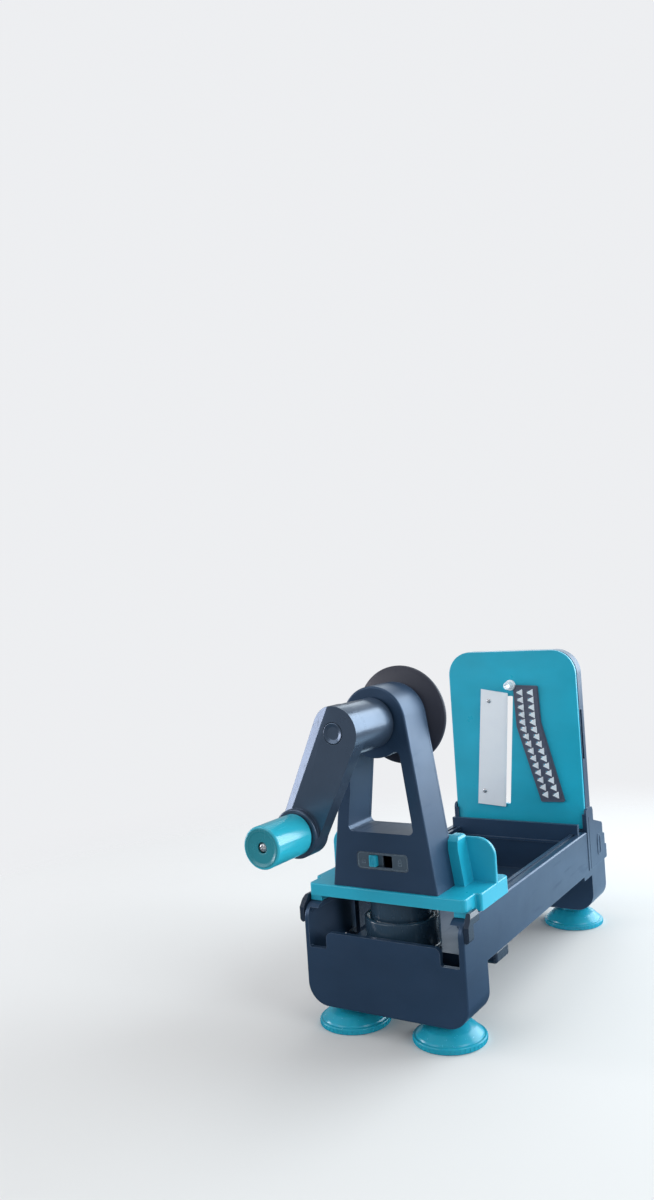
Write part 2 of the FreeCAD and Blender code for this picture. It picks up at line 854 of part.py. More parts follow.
def crank_arm():
    body = lobes(arm_front, arm_back, arm_top_radius, arm_end_radius)
    outer = arm_top_radius + 1.0
    facet = [
        (-arm_top_radius + arm_bevel_wide, arm_front),
        (-arm_top_radius, arm_front + arm_bevel_deep),
        (-outer, arm_front + arm_bevel_deep),
        (-outer, arm_front - 1.0),
        (-arm_top_radius + arm_bevel_wide, arm_front - 1.0),
    ]
    height = arm_reach + 2 * outer
    body = body.cut(slab(facet, "xy", shaft_height - arm_reach - outer, height))
    body = eased(body, 1.0, lambda e: lies(e, "y", arm_back))
    z_end = shaft_height - arm_reach
    end_boss = y_rod(boss_end_radius, 0, z_end, arm_front - boss_proud, arm_back - 1.5)
    end_boss = eased(end_boss, 1.2, lambda e: lies(e, "y", arm_front - boss_proud))
    body = joined([body, end_boss])
    body = body.cut(y_rod(shaft_radius, 0, shaft_height, shaft_start, arm_back + 1))
    body = body.cut(y_rod(cap_radius + fit_gap, 0, shaft_height, arm_front - 1, shaft_start))
    body = body.cut(y_rod(spindle_radius, 0, z_end, arm_front - boss_proud - 1, spindle_start))
    return tilted(body)


shaft_start = arm_front + socket_depth
spindle_start = arm_back - socket_depth
save("crank_arm", crank_arm())
hub_end = tower_front - bush_proud - slide_gap
hub = y_ring(hub_radius, shaft_radius, 0, shaft_height, arm_back, hub_end)
hub = eased(hub, 0.8, lambda e: lies(e, "y", hub_end))
save("crank_hub", hub)

disk_back = tower_rear + bush_proud + slide_gap
disk_face = disk_back + disk_cone + disk_rim
shaft_end = disk_back + shaft_in_disk
save("crank_shaft", y_rod(shaft_radius, 0, shaft_height, shaft_start, shaft_end))

cap = y_turned([
    (0.0, arm_front + 0.6),
    (cap_radius - 2.5, arm_front - 0.2),
    (cap_radius - 1.2, arm_front - 0.9),
    (cap_radius, arm_front - 0.3),
    (cap_radius, shaft_start),
    (0.0, shaft_start),
], 0, shaft_height)
save("shaft_cap", cap)

grip_start = arm_front - boss_proud - slide_gap
grip_end = grip_start - grip_length
spindle_end = grip_end + 9.0
cap_back = grip_end + 3.0
grip_z = shaft_height - arm_reach
spindle = y_rod(spindle_radius, 0, grip_z, spindle_end, spindle_start)
save("grip_spindle", tilted(spindle))

sleeve = y_turned([
    (spindle_radius + running_gap, grip_start),
    (grip_radius - 1.0, grip_start),
    (grip_radius, grip_start - 1.0),
    (grip_radius, grip_end + 2.0),
    (grip_radius - 0.6, grip_end + 0.6),
    (grip_radius - 2.0, grip_end),
    (grip_radius - 3.0, grip_end),
    (grip_radius - 3.0, cap_back),
    (grip_counterbore, cap_back),
    (grip_counterbore, spindle_end + 1.0),
    (spindle_radius + running_gap, spindle_end + 1.0),
], 0, grip_z)
save("grip_sleeve", tilted(sleeve))

end_cap = y_turned([
    (screw_head_radius + 0.4, grip_end + 0.9),
    (grip_radius - 3.2, grip_end + 0.4),
    (grip_radius - 3.2, cap_back - 0.1),
    (screw_head_radius + 0.4, cap_back - 0.1),
], 0, grip_z)
save("grip_end_cap", tilted(end_cap))

washer_end = spindle_end - washer_thick
washer = y_ring(washer_radius, screw_neck + 0.05, 0, grip_z, washer_end, spindle_end)
save("grip_washer", tilted(washer))
grip_screw = joined([
    y_rod(screw_head_radius, 0, grip_z, grip_end + 1.6, washer_end),
    y_rod(screw_neck, 0, grip_z, washer_end, spindle_end),
])
save("grip_screw", tilted(grip_screw))


# ================================================================ food holder
def holder_disk():
    """A dished disk with a conical back, a flat front and a blind socket for the shaft."""
    body = y_turned([
        (0.0, disk_back),
        (disk_back_radius, disk_back),
        (disk_radius - 1.0, disk_back + disk_cone - 0.6),
        (disk_radius, disk_back + disk_cone + 0.4),
        (disk_radius, disk_face - 0.8),
        (disk_radius - 0.8, disk_face),
        (0.0, disk_face),
    ], 0, shaft_height)
    return body.cut(y_rod(shaft_radius, 0, shaft_height, disk_back - 1, shaft_end))


save("holder_disk", holder_disk())


def stud(x, z, root):
    """One holding stud: square at the root and sharpened to a ridge."""
    h = stud_size / 2
    profile = [
        (x - h, root),
        (x + h, root),
        (x + h, root + stud_length * 0.45),
        (x - h + 0.7, root + stud_length),
        (x - h, root + stud_length),
    ]
    return slab(profile, "xy", z - h, stud_size)


def stud_plate():
    """A thin round plate with staggered rows of studs, clear of the middle pin and of the rim."""
    root = disk_face + stud_plate_thick
    plate = y_ring(disk_radius - plate_inset, pin_radius + fit_gap, 0, shaft_height, disk_face, root)
    made = []
    rows = int(disk_radius // stud_pitch)
    for row in range(-rows, rows + 1):
        shift = stud_pitch / 2 if row % 2 else 0.0
        for column in range(-rows - 1, rows + 2):
            x = column * stud_pitch + shift
            z = row * stud_pitch
            far = math.hypot(x, z)
            if pin_radius + stud_size < far < disk_radius - plate_inset - stud_size * 0.75:
                made.append(stud(x, shaft_height + z, root - 0.2))
    return plate.fuse(made)


save("holder_studs", stud_plate())
pin = y_turned([
    (0.0, disk_face),
    (pin_radius, disk_face),
    (pin_radius, disk_face + pin_length - 5.0),
    (pin_radius - 1.1, disk_face + pin_length - 1.0),
    (0.0, disk_face + pin_length),
], 0, shaft_height)
save("centre_pin", pin)


# ================================================================ end frame
def end_frame():
    """The tall arch that holds the blade plate, with its stepped foot over the end of the base."""
    w = frame_half
    a = arch_half
    arch = slab([
        (-a, foot_bottom),
        (a, foot_bottom),
        (a, plate_top, frame_corner),
        (-a, plate_top, frame_corner),
    ], "xz", frame_front, frame_back - frame_front)
    arch = eased(arch, frame_round, lambda e: lies(e, "y", frame_back) and not lies(e, "z", foot_bottom))
    opening = slab([
        (-opening_half, opening_low, opening_corner / 2),
        (opening_half, opening_low, opening_corner / 2),
        (opening_half, opening_high, opening_corner),
        (-opening_half, opening_high, opening_corner),
    ], "xz", frame_front - 1, frame_back - frame_front + 2)
    arch = arch.cut(opening)
    # each short channel has a web beside the plate and a lip in front of it
    web = slab([
        (channel_front, foot_bottom),
        (frame_back, foot_bottom),
        (frame_back, lip_top, 5.0),
        (channel_front, lip_top, 5.0),
    ], "yz", plate_half + slide_gap, w - plate_half - slide_gap)
    lip = block(channel_half, w, channel_front, channel_front + channel_lip, plate_bottom - 1,
                lip_top - 5.0)
    sill = block(-w, w, channel_front, frame_front + 1, foot_bottom, plate_bottom - seat_gap)
    top = foot_top
    first = foot_bottom + first_rise
    second = first + second_rise
    steps = [
        (frame_front, foot_bottom),
        (foot_back, foot_bottom, 2.0),
        (foot_back, first, 2.0),
        (foot_back - first_step, first + 1.0, 1.0),
        (foot_back - first_step, second, 2.0),
        (foot_back - second_step, second + 1.0, 1.0),
        (foot_back - second_step, top - 8.0, 4.0),
        (frame_back, top),
        (frame_front, top),
    ]
    foot = slab(steps, "yz", -w, 2 * w)
    hollow_steps = [
        (frame_back - 4.0, foot_bottom - 1),
        (foot_back - wall, foot_bottom - 1),
        (foot_back - wall, first - 2.0),
        (foot_back - wall - first_step, first - 2.0),
        (foot_back - wall - first_step, second - 3.0),
        (foot_back - wall - second_step, second - 3.0),
        (foot_back - wall - second_step, top - 14.0),
        (frame_back - 4.0, top - 9.0),
    ]
    hollow = slab(hollow_steps, "yz", -w + wall, 2 * (w - wall))
    body = joined([arch, web, mirrored(web), lip, mirrored(lip), sill, foot]).cut(hollow)
    # the seam groove and the long slot on each side
    seam_y = end_seam + seam_start
    slot_y = end_seam + side_slot_start
    seam = block(w - 1.0, w + 1, seam_y, seam_y + seam_width, foot_bottom - 1, opening_low)
    slot = block(a - side_slot_deep, a + 1, slot_y, slot_y + side_slot_wide, side_slot_low, side_slot_high)
    for cutter in (seam, mirrored(seam), slot, mirrored(slot)):
        body = body.cut(cutter)
    loop_y = back - loop_inset
    loop_low = foot_bottom + loop_rise
    loop_high = loop_low + loop_tall

    def oval(inset, level, depth):
        half = loop_half - inset
        return slab([
            (loop_y - half, loop_low + inset, half - 0.4),
            (loop_y + half, loop_low + inset, half - 0.4),
            (loop_y + half, loop_high - inset, half - 0.4),
            (loop_y - half, loop_high - inset, half - 0.4),
        ], "yz", level, depth)

    loop = oval(0, w - 0.5, 1.0)
    inner_loop = oval(loop_band, w - 2.0, 4.0)
    for ring in (loop.cut(inner_loop), mirrored(loop.cut(inner_loop))):
        body = body.fuse(ring)
    return body.removeSplitter()


save("end_frame", end_frame())


# ================================================================ blade plate
def plate_spot(across, up):
    """A point of the plate: across as a share of its half width, up from its foot to the shaft line."""
    return (plate_half * across, plate_bottom + (shaft_height - plate_bottom) * up)


flat_blade_shares = [(-0.469, 0.968), (-0.044, 0.936), (-0.191, 0.128), (-0.635, 0.142)]
julienne_shares = [
    (0.046, 0.994),
    (0.426, 0.987),
    (0.444, 0.733),
    (0.735, 0.184),
    (0.376, 0.177),
    (0.065, 0.699),
]
flat_blade_corners = [plate_spot(across, up) for across, up in flat_blade_shares]
julienne_corners = [plate_spot(across, up) for across, up in julienne_shares]
rivet_spots = [plate_spot(-0.354, 0.882), plate_spot(-0.512, 0.236)]


def between(a, b, share):
    return (a[0] + (b[0] - a[0]) * share, a[1] + (b[1] - a[1]) * share)


def blade_plate():
    h = plate_half
    body = slab([
        (-h, plate_bottom, 2.0),
        (h, plate_bottom, 2.0),
        (h, plate_top, plate_corner),
        (-h, plate_top, plate_corner),
    ], "xz", plate_front, plate_thick)
    # the slicing blade stands on a low pad
    pad = slab(flat_blade_corners, "xz", plate_front - blade_pad, blade_pad + 0.5)
    body = joined([body, pad])
    tl, tr, br, bl = flat_blade_corners
    slot = slab([
        (tr[0] - slot_under, tr[1] - slot_inset, 1.0),
        (tr[0] + slot_beside, tr[1] - slot_inset, 1.0),
        (br[0] + slot_beside, br[1] + slot_inset, 1.0),
        (br[0] - slot_under, br[1] + slot_inset, 1.0),
    ], "xz", plate_front - 3, plate_thick + 6)
    body = body.cut(slot)
    for x, z in perforations():
        body = body.cut(hole_at(x, z, hole_width, hole_height, plate_front - 3, plate_thick + 6))
    for x, z in rivet_spots:
        body = body.cut(y_rod(rivet_shank, x, z, plate_front - 5, plate_front + plate_thick + 1))
    body = body.cut(y_rod(core_radius, 0, core_height(), plate_front - 3, plate_front + 10))
    return body


def core_height():
    return shaft_height - core_drop


def hole_at(x, z, width, height, y0, depth):
    return block(x - width / 2, x + width / 2, y0, y0 + depth, z - height / 2, z + height / 2)


def tooth_spots():
    """Two columns of teeth that follow the bend of the strip."""
    tl, tr, kink_r, br, bl, kink_l = julienne_corners
    height = tl[1] - bl[1] - 8.0
    made = []
    for i in range(tooth_count):
        z = tl[1] - 6.0 - height * (i + 0.5) / tooth_count + 2.0
        if z > kink_l[1]:
            left = between(tl, kink_l, (tl[1] - z) / (tl[1] - kink_l[1]))[0]
        else:
            left = between(kink_l, bl, (kink_l[1] - z) / (kink_l[1] - bl[1]))[0]
        made.extend((left + across, z) for across in tooth_columns)
    return made


def perforations():
    return [(x - hole_shift, z) for x, z in tooth_spots()]


def julienne_base():
    rim = [(u, v, 1.5) for u, v in julienne_corners]
    body = slab(rim, "xz", plate_front - julienne_thick, julienne_thick)
    for x, z in perforations():
        body = body.cut(hole_at(x, z, hole_width, hole_height, plate_front - 4, 6))
    return body.cut(y_rod(core_radius + fit_gap, 0, core_height(), plate_front - 4, plate_front + 1))


def tooth(x, z, root):
    """A small triangular blade bent up on edge, which leans over the opening beside it."""
    profile = [(root, z + tooth_long / 2), (root, z - tooth_long / 2), (root - tooth_height, z)]
    blade = slab(profile, "yz", x - tooth_thick / 2, tooth_thick)
    return blade.rotate(vec(x, root, z), vec(0, 0, 1), -tooth_lean)


def tooth_strips():
    """A thin steel strip with openings and two columns of teeth bent up beside them."""
    face = plate_front - julienne_thick
    spots = tooth_spots()
    middle = sum(u for u, v in julienne_corners) / len(julienne_corners)
    lift = sum(v for u, v in julienne_corners) / len(julienne_corners)
    inner = [(middle + (u - middle) * 0.9, lift + (v - lift) * 0.955) for u, v in julienne_corners]
    strip = slab(inner, "xz", face - tooth_strip, tooth_strip)
    for x, z in perforations():
        strip = strip.cut(hole_at(x, z, hole_width, hole_height, face - 3, 6))
    root = face - tooth_strip + 0.1
    return strip.fuse([tooth(x + tooth_shift, z, root) for x, z in spots])


def flat_blade():
    """The long slicing blade: a steel strip with a ground edge over the slot."""
    y0 = plate_front - blade_pad - blade_thick
    body = slab(flat_blade_corners, "xz", y0, blade_thick)
    tl, tr, br, bl = flat_blade_corners
    # the edge is ground from the front
    run = vec(br[0] - tr[0], 0, br[1] - tr[1])
    run.normalize()
    wedge = [
        vec(tr[0] - 3.5, y0 - 0.01, tr[1]),
        vec(tr[0] + 1.0, y0 - 0.01, tr[1]),
        vec(tr[0] + 1.0, y0 + blade_thick, tr[1]),
    ]
    face = Part.Face(Part.makePolygon(wedge + wedge[:1]))
    body = body.cut(upright(face.extrude(run * (tr[1] - br[1] + 12.0))))
    body = body.cut(upright(face.extrude(run * -12.0)))
    for x, z in rivet_spots:
        body = body.cut(y_rod(rivet_shank, x, z, y0 - 1, y0 + 3))
    return body


def rivet(x, z):
    y0 = plate_front - blade_pad - blade_thick
    end = plate_front + plate_thick
    points = [
        (0.0, y0 - 1.0),
        (rivet_shank, y0 - 0.8),
        (rivet_radius, y0),
        (rivet_shank, y0),
        (rivet_shank, end),
        (0.0, end),
    ]
    return y_turned(points, x, z)


save("blade_plate", blade_plate())
save("julienne_base", julienne_base())
save("julienne_teeth", tooth_strips())
save("flat_blade", flat_blade())
save("blade_rivets", Part.makeCompound([rivet(x, z) for x, z in rivet_spots]))
core = y_turned([
    (core_radius - core_wall, plate_front - core_length),
    (core_radius - 0.2, plate_front - core_length + 1.0),
    (core_radius, plate_front - core_length + 3.0),
    (core_radius, plate_front + plate_thick),
    (core_radius - core_wall, plate_front + plate_thick),
], 0, core_height())
save("coring_tube", core)
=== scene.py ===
import json
import logging
import math
from dataclasses import dataclass
from enum import Enum
from typing import Iterable, Sequence

import bmesh
import bpy
from mathutils import Matrix, Vector


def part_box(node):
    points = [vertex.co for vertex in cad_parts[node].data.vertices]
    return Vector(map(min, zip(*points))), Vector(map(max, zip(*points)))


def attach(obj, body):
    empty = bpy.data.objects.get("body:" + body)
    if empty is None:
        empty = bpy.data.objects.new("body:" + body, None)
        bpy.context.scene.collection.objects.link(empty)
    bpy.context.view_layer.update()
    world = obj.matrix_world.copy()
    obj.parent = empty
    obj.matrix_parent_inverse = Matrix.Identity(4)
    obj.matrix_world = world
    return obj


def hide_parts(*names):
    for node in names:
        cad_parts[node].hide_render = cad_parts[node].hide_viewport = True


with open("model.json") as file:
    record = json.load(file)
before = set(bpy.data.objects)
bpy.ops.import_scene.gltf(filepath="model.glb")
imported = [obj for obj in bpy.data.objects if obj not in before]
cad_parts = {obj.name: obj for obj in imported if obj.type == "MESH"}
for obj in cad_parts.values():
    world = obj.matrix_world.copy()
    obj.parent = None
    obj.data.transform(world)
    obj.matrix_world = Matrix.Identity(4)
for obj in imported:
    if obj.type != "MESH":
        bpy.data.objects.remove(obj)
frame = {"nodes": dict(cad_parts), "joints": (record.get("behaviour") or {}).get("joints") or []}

LOG = logging.getLogger("spiralizer")
MM = 0.001  # one millimetre in the frame's metres
HAIR = 0.05  # gap that keeps two touching faces apart, in millimetres
SLIVER = 0.02  # gap between a thin piece and the face that it lies on, in millimetres
PAST = 2.0  # how far a cutting tool reaches past what it cuts, in millimetres
MERGE_DISTANCE = 2e-6  # corners this close are one corner, in metres
SHARP_ANGLE = math.radians(34.0)  # edges that turn by more than this are shaded sharp
FLAT_ANGLE = math.radians(0.6)  # faces that turn by less than this are one flat face
SOFT_ANGLE = math.radians(40.0)  # edges that turn by more than this are rounded
FLAT_WEIGHT = 80  # how strongly large faces hold the shading flat
NOISE_ROUGHNESS = 0.55  # how much the finer layers of a noise pattern count
EDGE_TURN = (0.80, 0.985)  # how far the shading leans over at an edge and where it starts, as cosines
EVEN = (1.0, 1.0, 1.0)  # a pattern that is as dense along every axis
WHITE = (1.0, 1.0, 1.0)

Point = tuple[float, float]
Corner = tuple[float, float, float]
Colour = tuple[float, float, float]
Link = bpy.types.NodeSocket


class Axis(Enum):
    """The line that a turned piece is turned about."""

    ALONG = "y"
    UP = "z"


class Plane(Enum):
    """The plane that an outline is drawn in, named by where it is seen from."""

    FRONT = "xz"
    TOP = "xy"


# ---------------------------------------------------------------- places in the frame
@dataclass(frozen=True)
class Box:
    """The space that a CAD node takes at rest, in millimetres."""

    low: Vector
    high: Vector

    @classmethod
    def of(cls, node: str) -> "Box":
        """The box of one CAD node."""
        low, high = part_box(node)
        return cls(Vector(low) / MM, Vector(high) / MM)

    @property
    def middle(self) -> Vector:
        """The point in the middle of the box."""
        return (self.low + self.high) / 2

    @property
    def size(self) -> Vector:
        """The three sides of the box."""
        return self.high - self.low

    @property
    def radius(self) -> float:
        """Half the width of the box, which is the radius of a turned piece."""
        return self.size.x / 2


def joint_point(name: str) -> Vector:
    """The point that a joint of the frame turns about, in millimetres.

    Args:
        name: The joint's name.

    Returns:
        The point.
    """
    return next(Vector(j["pos_m"]) / MM for j in frame["joints"] if j["name"] == name)


def slide_reach(name: str) -> float:
    """How far a sliding joint goes, in millimetres."""
    low, high = next(j["range_m"] for j in frame["joints"] if j["name"] == name)
    return (high - low) / MM


# ---------------------------------------------------------------- outlines
def rounded(corners: Sequence[Corner], steps: int = 6) -> list[Point]:
    """An outline with rounded corners.

    Args:
        corners: The corners as (u, v, radius).
        steps: How many straight pieces each round has.

    Returns:
        The outline's points in the order of its corners.
    """
    points: list[Point] = []
    for i, (u, v, radius) in enumerate(corners):
        here = Vector((u, v))
        before = (Vector(corners[i - 1][:2]) - here).normalized()
        after = (Vector(corners[(i + 1) % len(corners)][:2]) - here).normalized()
        half = before.angle(after) / 2
        if radius <= 0 or half > math.pi / 2 - 0.001:
            points.append((u, v))
            continue
        reach = radius / math.tan(half)
        centre = here + (before + after).normalized() * (radius / math.sin(half))
        start = math.atan2(*reversed(here + before * reach - centre))
        end = math.atan2(*reversed(here + after * reach - centre))
        turn = (end - start + math.pi) % (2 * math.pi) - math.pi
        for k in range(steps + 1):
            angle = start + turn * k / steps
            points.append((centre.x + radius * math.cos(angle), centre.y + radius * math.sin(angle)))
    return points


def circle(radius: float, count: int, centre: Point = (0.0, 0.0)) -> list[Point]:
    """The points of a circle, anticlockwise.

    Args:
        radius: Its radius.
        count: How many points it has.
        centre: Its middle.

    Returns:
        The points.
    """
    steps = [2 * math.pi * k / count for k in range(count)]
    return [(centre[0] + radius * math.cos(a), centre[1] + radius * math.sin(a)) for a in steps]


def oblong(low: Sequence[float], high: Sequence[float], radius: float = 0.0) -> list[Corner]:
    """The corners of a rectangle, anticlockwise, all with one radius."""
    left, bottom, right, top = low[0], low[1], high[0], high[1]
    return [(left, bottom, radius), (right, bottom, radius), (right, top, radius), (left, top, radius)]


# ---------------------------------------------------------------- meshes
def added(name: str, data: bpy.types.ID) -> bpy.types.Object:
    """A new object, linked to the scene.

    Args:
        name: The object's name.
        data: Its mesh, lamp or camera.

    Returns:
        The object.
    """
    obj = bpy.data.objects.new(name, data)
    bpy.context.scene.collection.objects.link(obj)
    return obj


def kept(name: str, bm: bmesh.types.BMesh) -> bpy.types.Object:
    """Writes a bmesh into a new object as it is.

    Args:
        name: The object's name.
        bm: The bmesh, which is freed.

    Returns:
        The object.
    """
    mesh = bpy.data.meshes.new(name)
    bm.to_mesh(mesh)
    bm.free()
    return added(name, mesh)


def from_bmesh(name: str, bm: bmesh.types.BMesh) -> bpy.types.Object:
    """Writes a bmesh into a new object with its doubles merged and its faces outward.

    Args:
        name: The object's name.
        bm: The bmesh, which is freed.

    Returns:
        The object.
    """
    bmesh.ops.remove_doubles(bm, verts=bm.verts, dist=MERGE_DISTANCE)
    bmesh.ops.recalc_face_normals(bm, faces=bm.faces)
    return kept(name, bm)


def facets(name: str, corners: Iterable[Sequence[float]],
           faces: Iterable[Iterable[int]]) -> bpy.types.Object:
    """A solid with flat faces.

    Args:
        name: The object's name.
        corners: The corners in millimetres.
        faces: The corners of each face, by number.

    Returns:
        The object.
    """
    bm = bmesh.new()
    spots = [bm.verts.new(Vector(corner) * MM) for corner in corners]
    for face in faces:
        bm.faces.new([spots[i] for i in face])
    return from_bmesh(name, bm)


def prism(name: str, outline: Sequence[Point], plane: Plane, low: float, high: float) -> bpy.types.Object:
    """A straight solid with one outline.

    Args:
        name: The object's name.
        outline: The outline's points in millimetres.
        plane: The plane that it is drawn in.
        low: Where the solid starts along the plane's own axis.
        high: Where it ends.

    Returns:
        The object.
    """
    count = len(outline)
    corners = [(u, level, v) if plane is Plane.FRONT else (u, v, level)
               for level in (low, high) for u, v in outline]
    following = [*range(1, count), 0]
    sides = [(i, j, j + count, i + count) for i, j in enumerate(following)]
    return facets(name, corners, [range(count), range(count, 2 * count), *sides])


def duplicate(obj: bpy.types.Object) -> bpy.types.Object:
    """A second object with its own copy of a mesh."""
    return added(obj.name, obj.data.copy())


def cuboid(name: str, low: Sequence[float], high: Sequence[float]) -> bpy.types.Object:
    """A block between two corners in millimetres, for cutting."""
    return prism(name, rounded(oblong(low, high)), Plane.TOP, low[2], high[2])


def lathe(name: str, profile: Sequence[Corner], axis: Axis, centre: Vector, count: int) -> bpy.types.Object:
    """A turned solid.

    Args:
        name: The object's name.
        profile: Closed outline of (radius, level, rounding) corners in millimetres.
        axis: The line that it is turned about.
        centre: A point on that line; its own level isn't used.
        count: How many steps the turn has.

    Returns:
        The object.
    """
    outline = rounded(profile, 5)
    bm = bmesh.new()
    rings = []
    for across, rise in circle(1.0, count):
        ring = []
        for radius, level in outline:
            if axis is Axis.ALONG:
                place = Vector((centre.x + radius * across, level, centre.z + radius * rise))
            else:
                place = Vector((centre.x + radius * across, centre.y + radius * rise, level))
            ring.append(bm.verts.new(place * MM))
        rings.append(ring)
    for k in range(count):
        here, there = rings[k], rings[(k + 1) % count]
        for i in range(len(outline)):
            j = (i + 1) % len(outline)
            if outline[i][0] > 1e-6 or outline[j][0] > 1e-6:
                bm.faces.new((here[i], here[j], there[j], there[i]))
    bmesh.ops.remove_doubles(bm, verts=bm.verts, dist=MERGE_DISTANCE)
    bmesh.ops.dissolve_degenerate(bm, dist=MERGE_DISTANCE, edges=bm.edges)
    return from_bmesh(name, bm)


def settle(obj: bpy.types.Object) -> bpy.types.Object:
    """Makes what an object shows its own plain mesh, and drops its modifiers.

    Args:
        obj: The object.

    Returns:
        The same object.
    """
    bpy.context.view_layer.update()
    shown = obj.evaluated_get(bpy.context.evaluated_depsgraph_get())
    mesh = bpy.data.meshes.new_from_object(shown)
    obj.modifiers.clear()
    obj.data = mesh
    return obj


def carve(base: bpy.types.Object, tools: Sequence[bpy.types.Object]) -> bpy.types.Object:
    """Cuts solids out of another one.

    Args:
        base: The solid that is cut.
        tools: The solids that cut it, which are removed.

    Returns:
        The base, with its new mesh.
    """
    for tool in tools:
        modifier = base.modifiers.new(tool.name, "BOOLEAN")
        modifier.operation = "DIFFERENCE"
        modifier.solver = "EXACT"
        modifier.object = tool
    settle(base)
    for tool in tools:
        bpy.data.objects.remove(tool)
    return base


def merged(name: str, pieces: Sequence[bpy.types.Object]) -> bpy.types.Object:
    """Puts several closed meshes into one object without changing them.

    Args:
        name: The new object's name.
        pieces: The objects, which are removed.

    Returns:
        The new object.
    """
    bm = bmesh.new()
    for piece in pieces:
        bm.from_mesh(piece.data)
        bpy.data.objects.remove(piece)
    return kept(name, bm)


def tidy_copy(node: str, name: str) -> bpy.types.Object:
    """A copy of a CAD node's mesh with its loose triangles merged into whole faces.

    Args:
        node: The CAD node.
        name: The copy's name.

    Returns:
        The copy, at the node's place.
    """
    bm = bmesh.new()
    bm.from_mesh(frame["nodes"][node].data)
    bmesh.ops.remove_doubles(bm, verts=bm.verts, dist=MERGE_DISTANCE)
    bmesh.ops.dissolve_degenerate(bm, dist=MERGE_DISTANCE, edges=bm.edges)
    bmesh.ops.dissolve_limit(bm, angle_limit=FLAT_ANGLE, verts=bm.verts, edges=bm.edges)
    copy = kept(name, bm)
    layers = copy.data.attributes
    for layer in ("custom_normal", "sharp_face", "sharp_edge"):
        if layer in layers:
            layers.remove(layers[layer])
    return copy


def soften(obj: bpy.types.Object, width: float, segments: int) -> bpy.types.Object:
    """Rounds the hard edges of a piece, as a mould does.

    Args:
        obj: The piece.
        width: The width of each round in millimetres.
        segments: How many steps each round has.

    Returns:
        The piece, with its new mesh.
    """
    modifier = obj.modifiers.new("edge round", "BEVEL")
    modifier.width = width * MM
    modifier.segments = segments
    modifier.limit_method = "ANGLE"
    modifier.angle_limit = SOFT_ANGLE
    modifier.miter_outer = "MITER_ARC"
    modifier.use_clamp_overlap = True
    return settle(obj)


# ---------------------------------------------------------------- node trees
class Nodes:
    """A tree of nodes that is built up one node at a time."""

    def __init__(self, tree: bpy.types.NodeTree) -> None:
        """Takes the tree that the nodes go into."""
        self.tree = tree

    def node(self, kind: str, settings: dict[str, object] | None = None, **values: object) -> bpy.types.Node:
        """Adds a node.

        Args:
            kind: The node's type name.
            settings: Properties of the node.
            values: A socket or a value for each input, by name with _ for a space.

        Returns:
            The node.
        """
        made = self.tree.nodes.new(kind)
        for key, value in (settings or {}).items():
            setattr(made, key, value)
        for key, value in values.items():
            self.feed(made.inputs[key.replace("_", " ")], value)
        return made

    def feed(self, target: Link, value: object) -> None:
        """Links a socket to an input, or sets its value.

        Args:
            target: The input.
            value: The socket or the value.
        """
        if isinstance(value, Link):
            self.tree.links.new(value, target)
        else:
            target.default_value = value

    def fed(self, kind: str, settings: dict[str, object], *values: object) -> bpy.types.Node:
        """Adds a node whose inputs are given in their order.

        Args:
            kind: The node's type name.
            settings: Properties of the node.
            values: A socket or a value for each input, from the first one on.

        Returns:
            The node.
        """
        made = self.node(kind, settings)
        for target, value in zip(made.inputs, values):
            self.feed(target, value)
        return made

    def math(self, operation: str, first: object, second: object = 0.0) -> Link:
        """A sum on two sockets or numbers, by Blender's name for it."""
        return self.fed("ShaderNodeMath", {"operation": operation}, first, second).outputs[0]


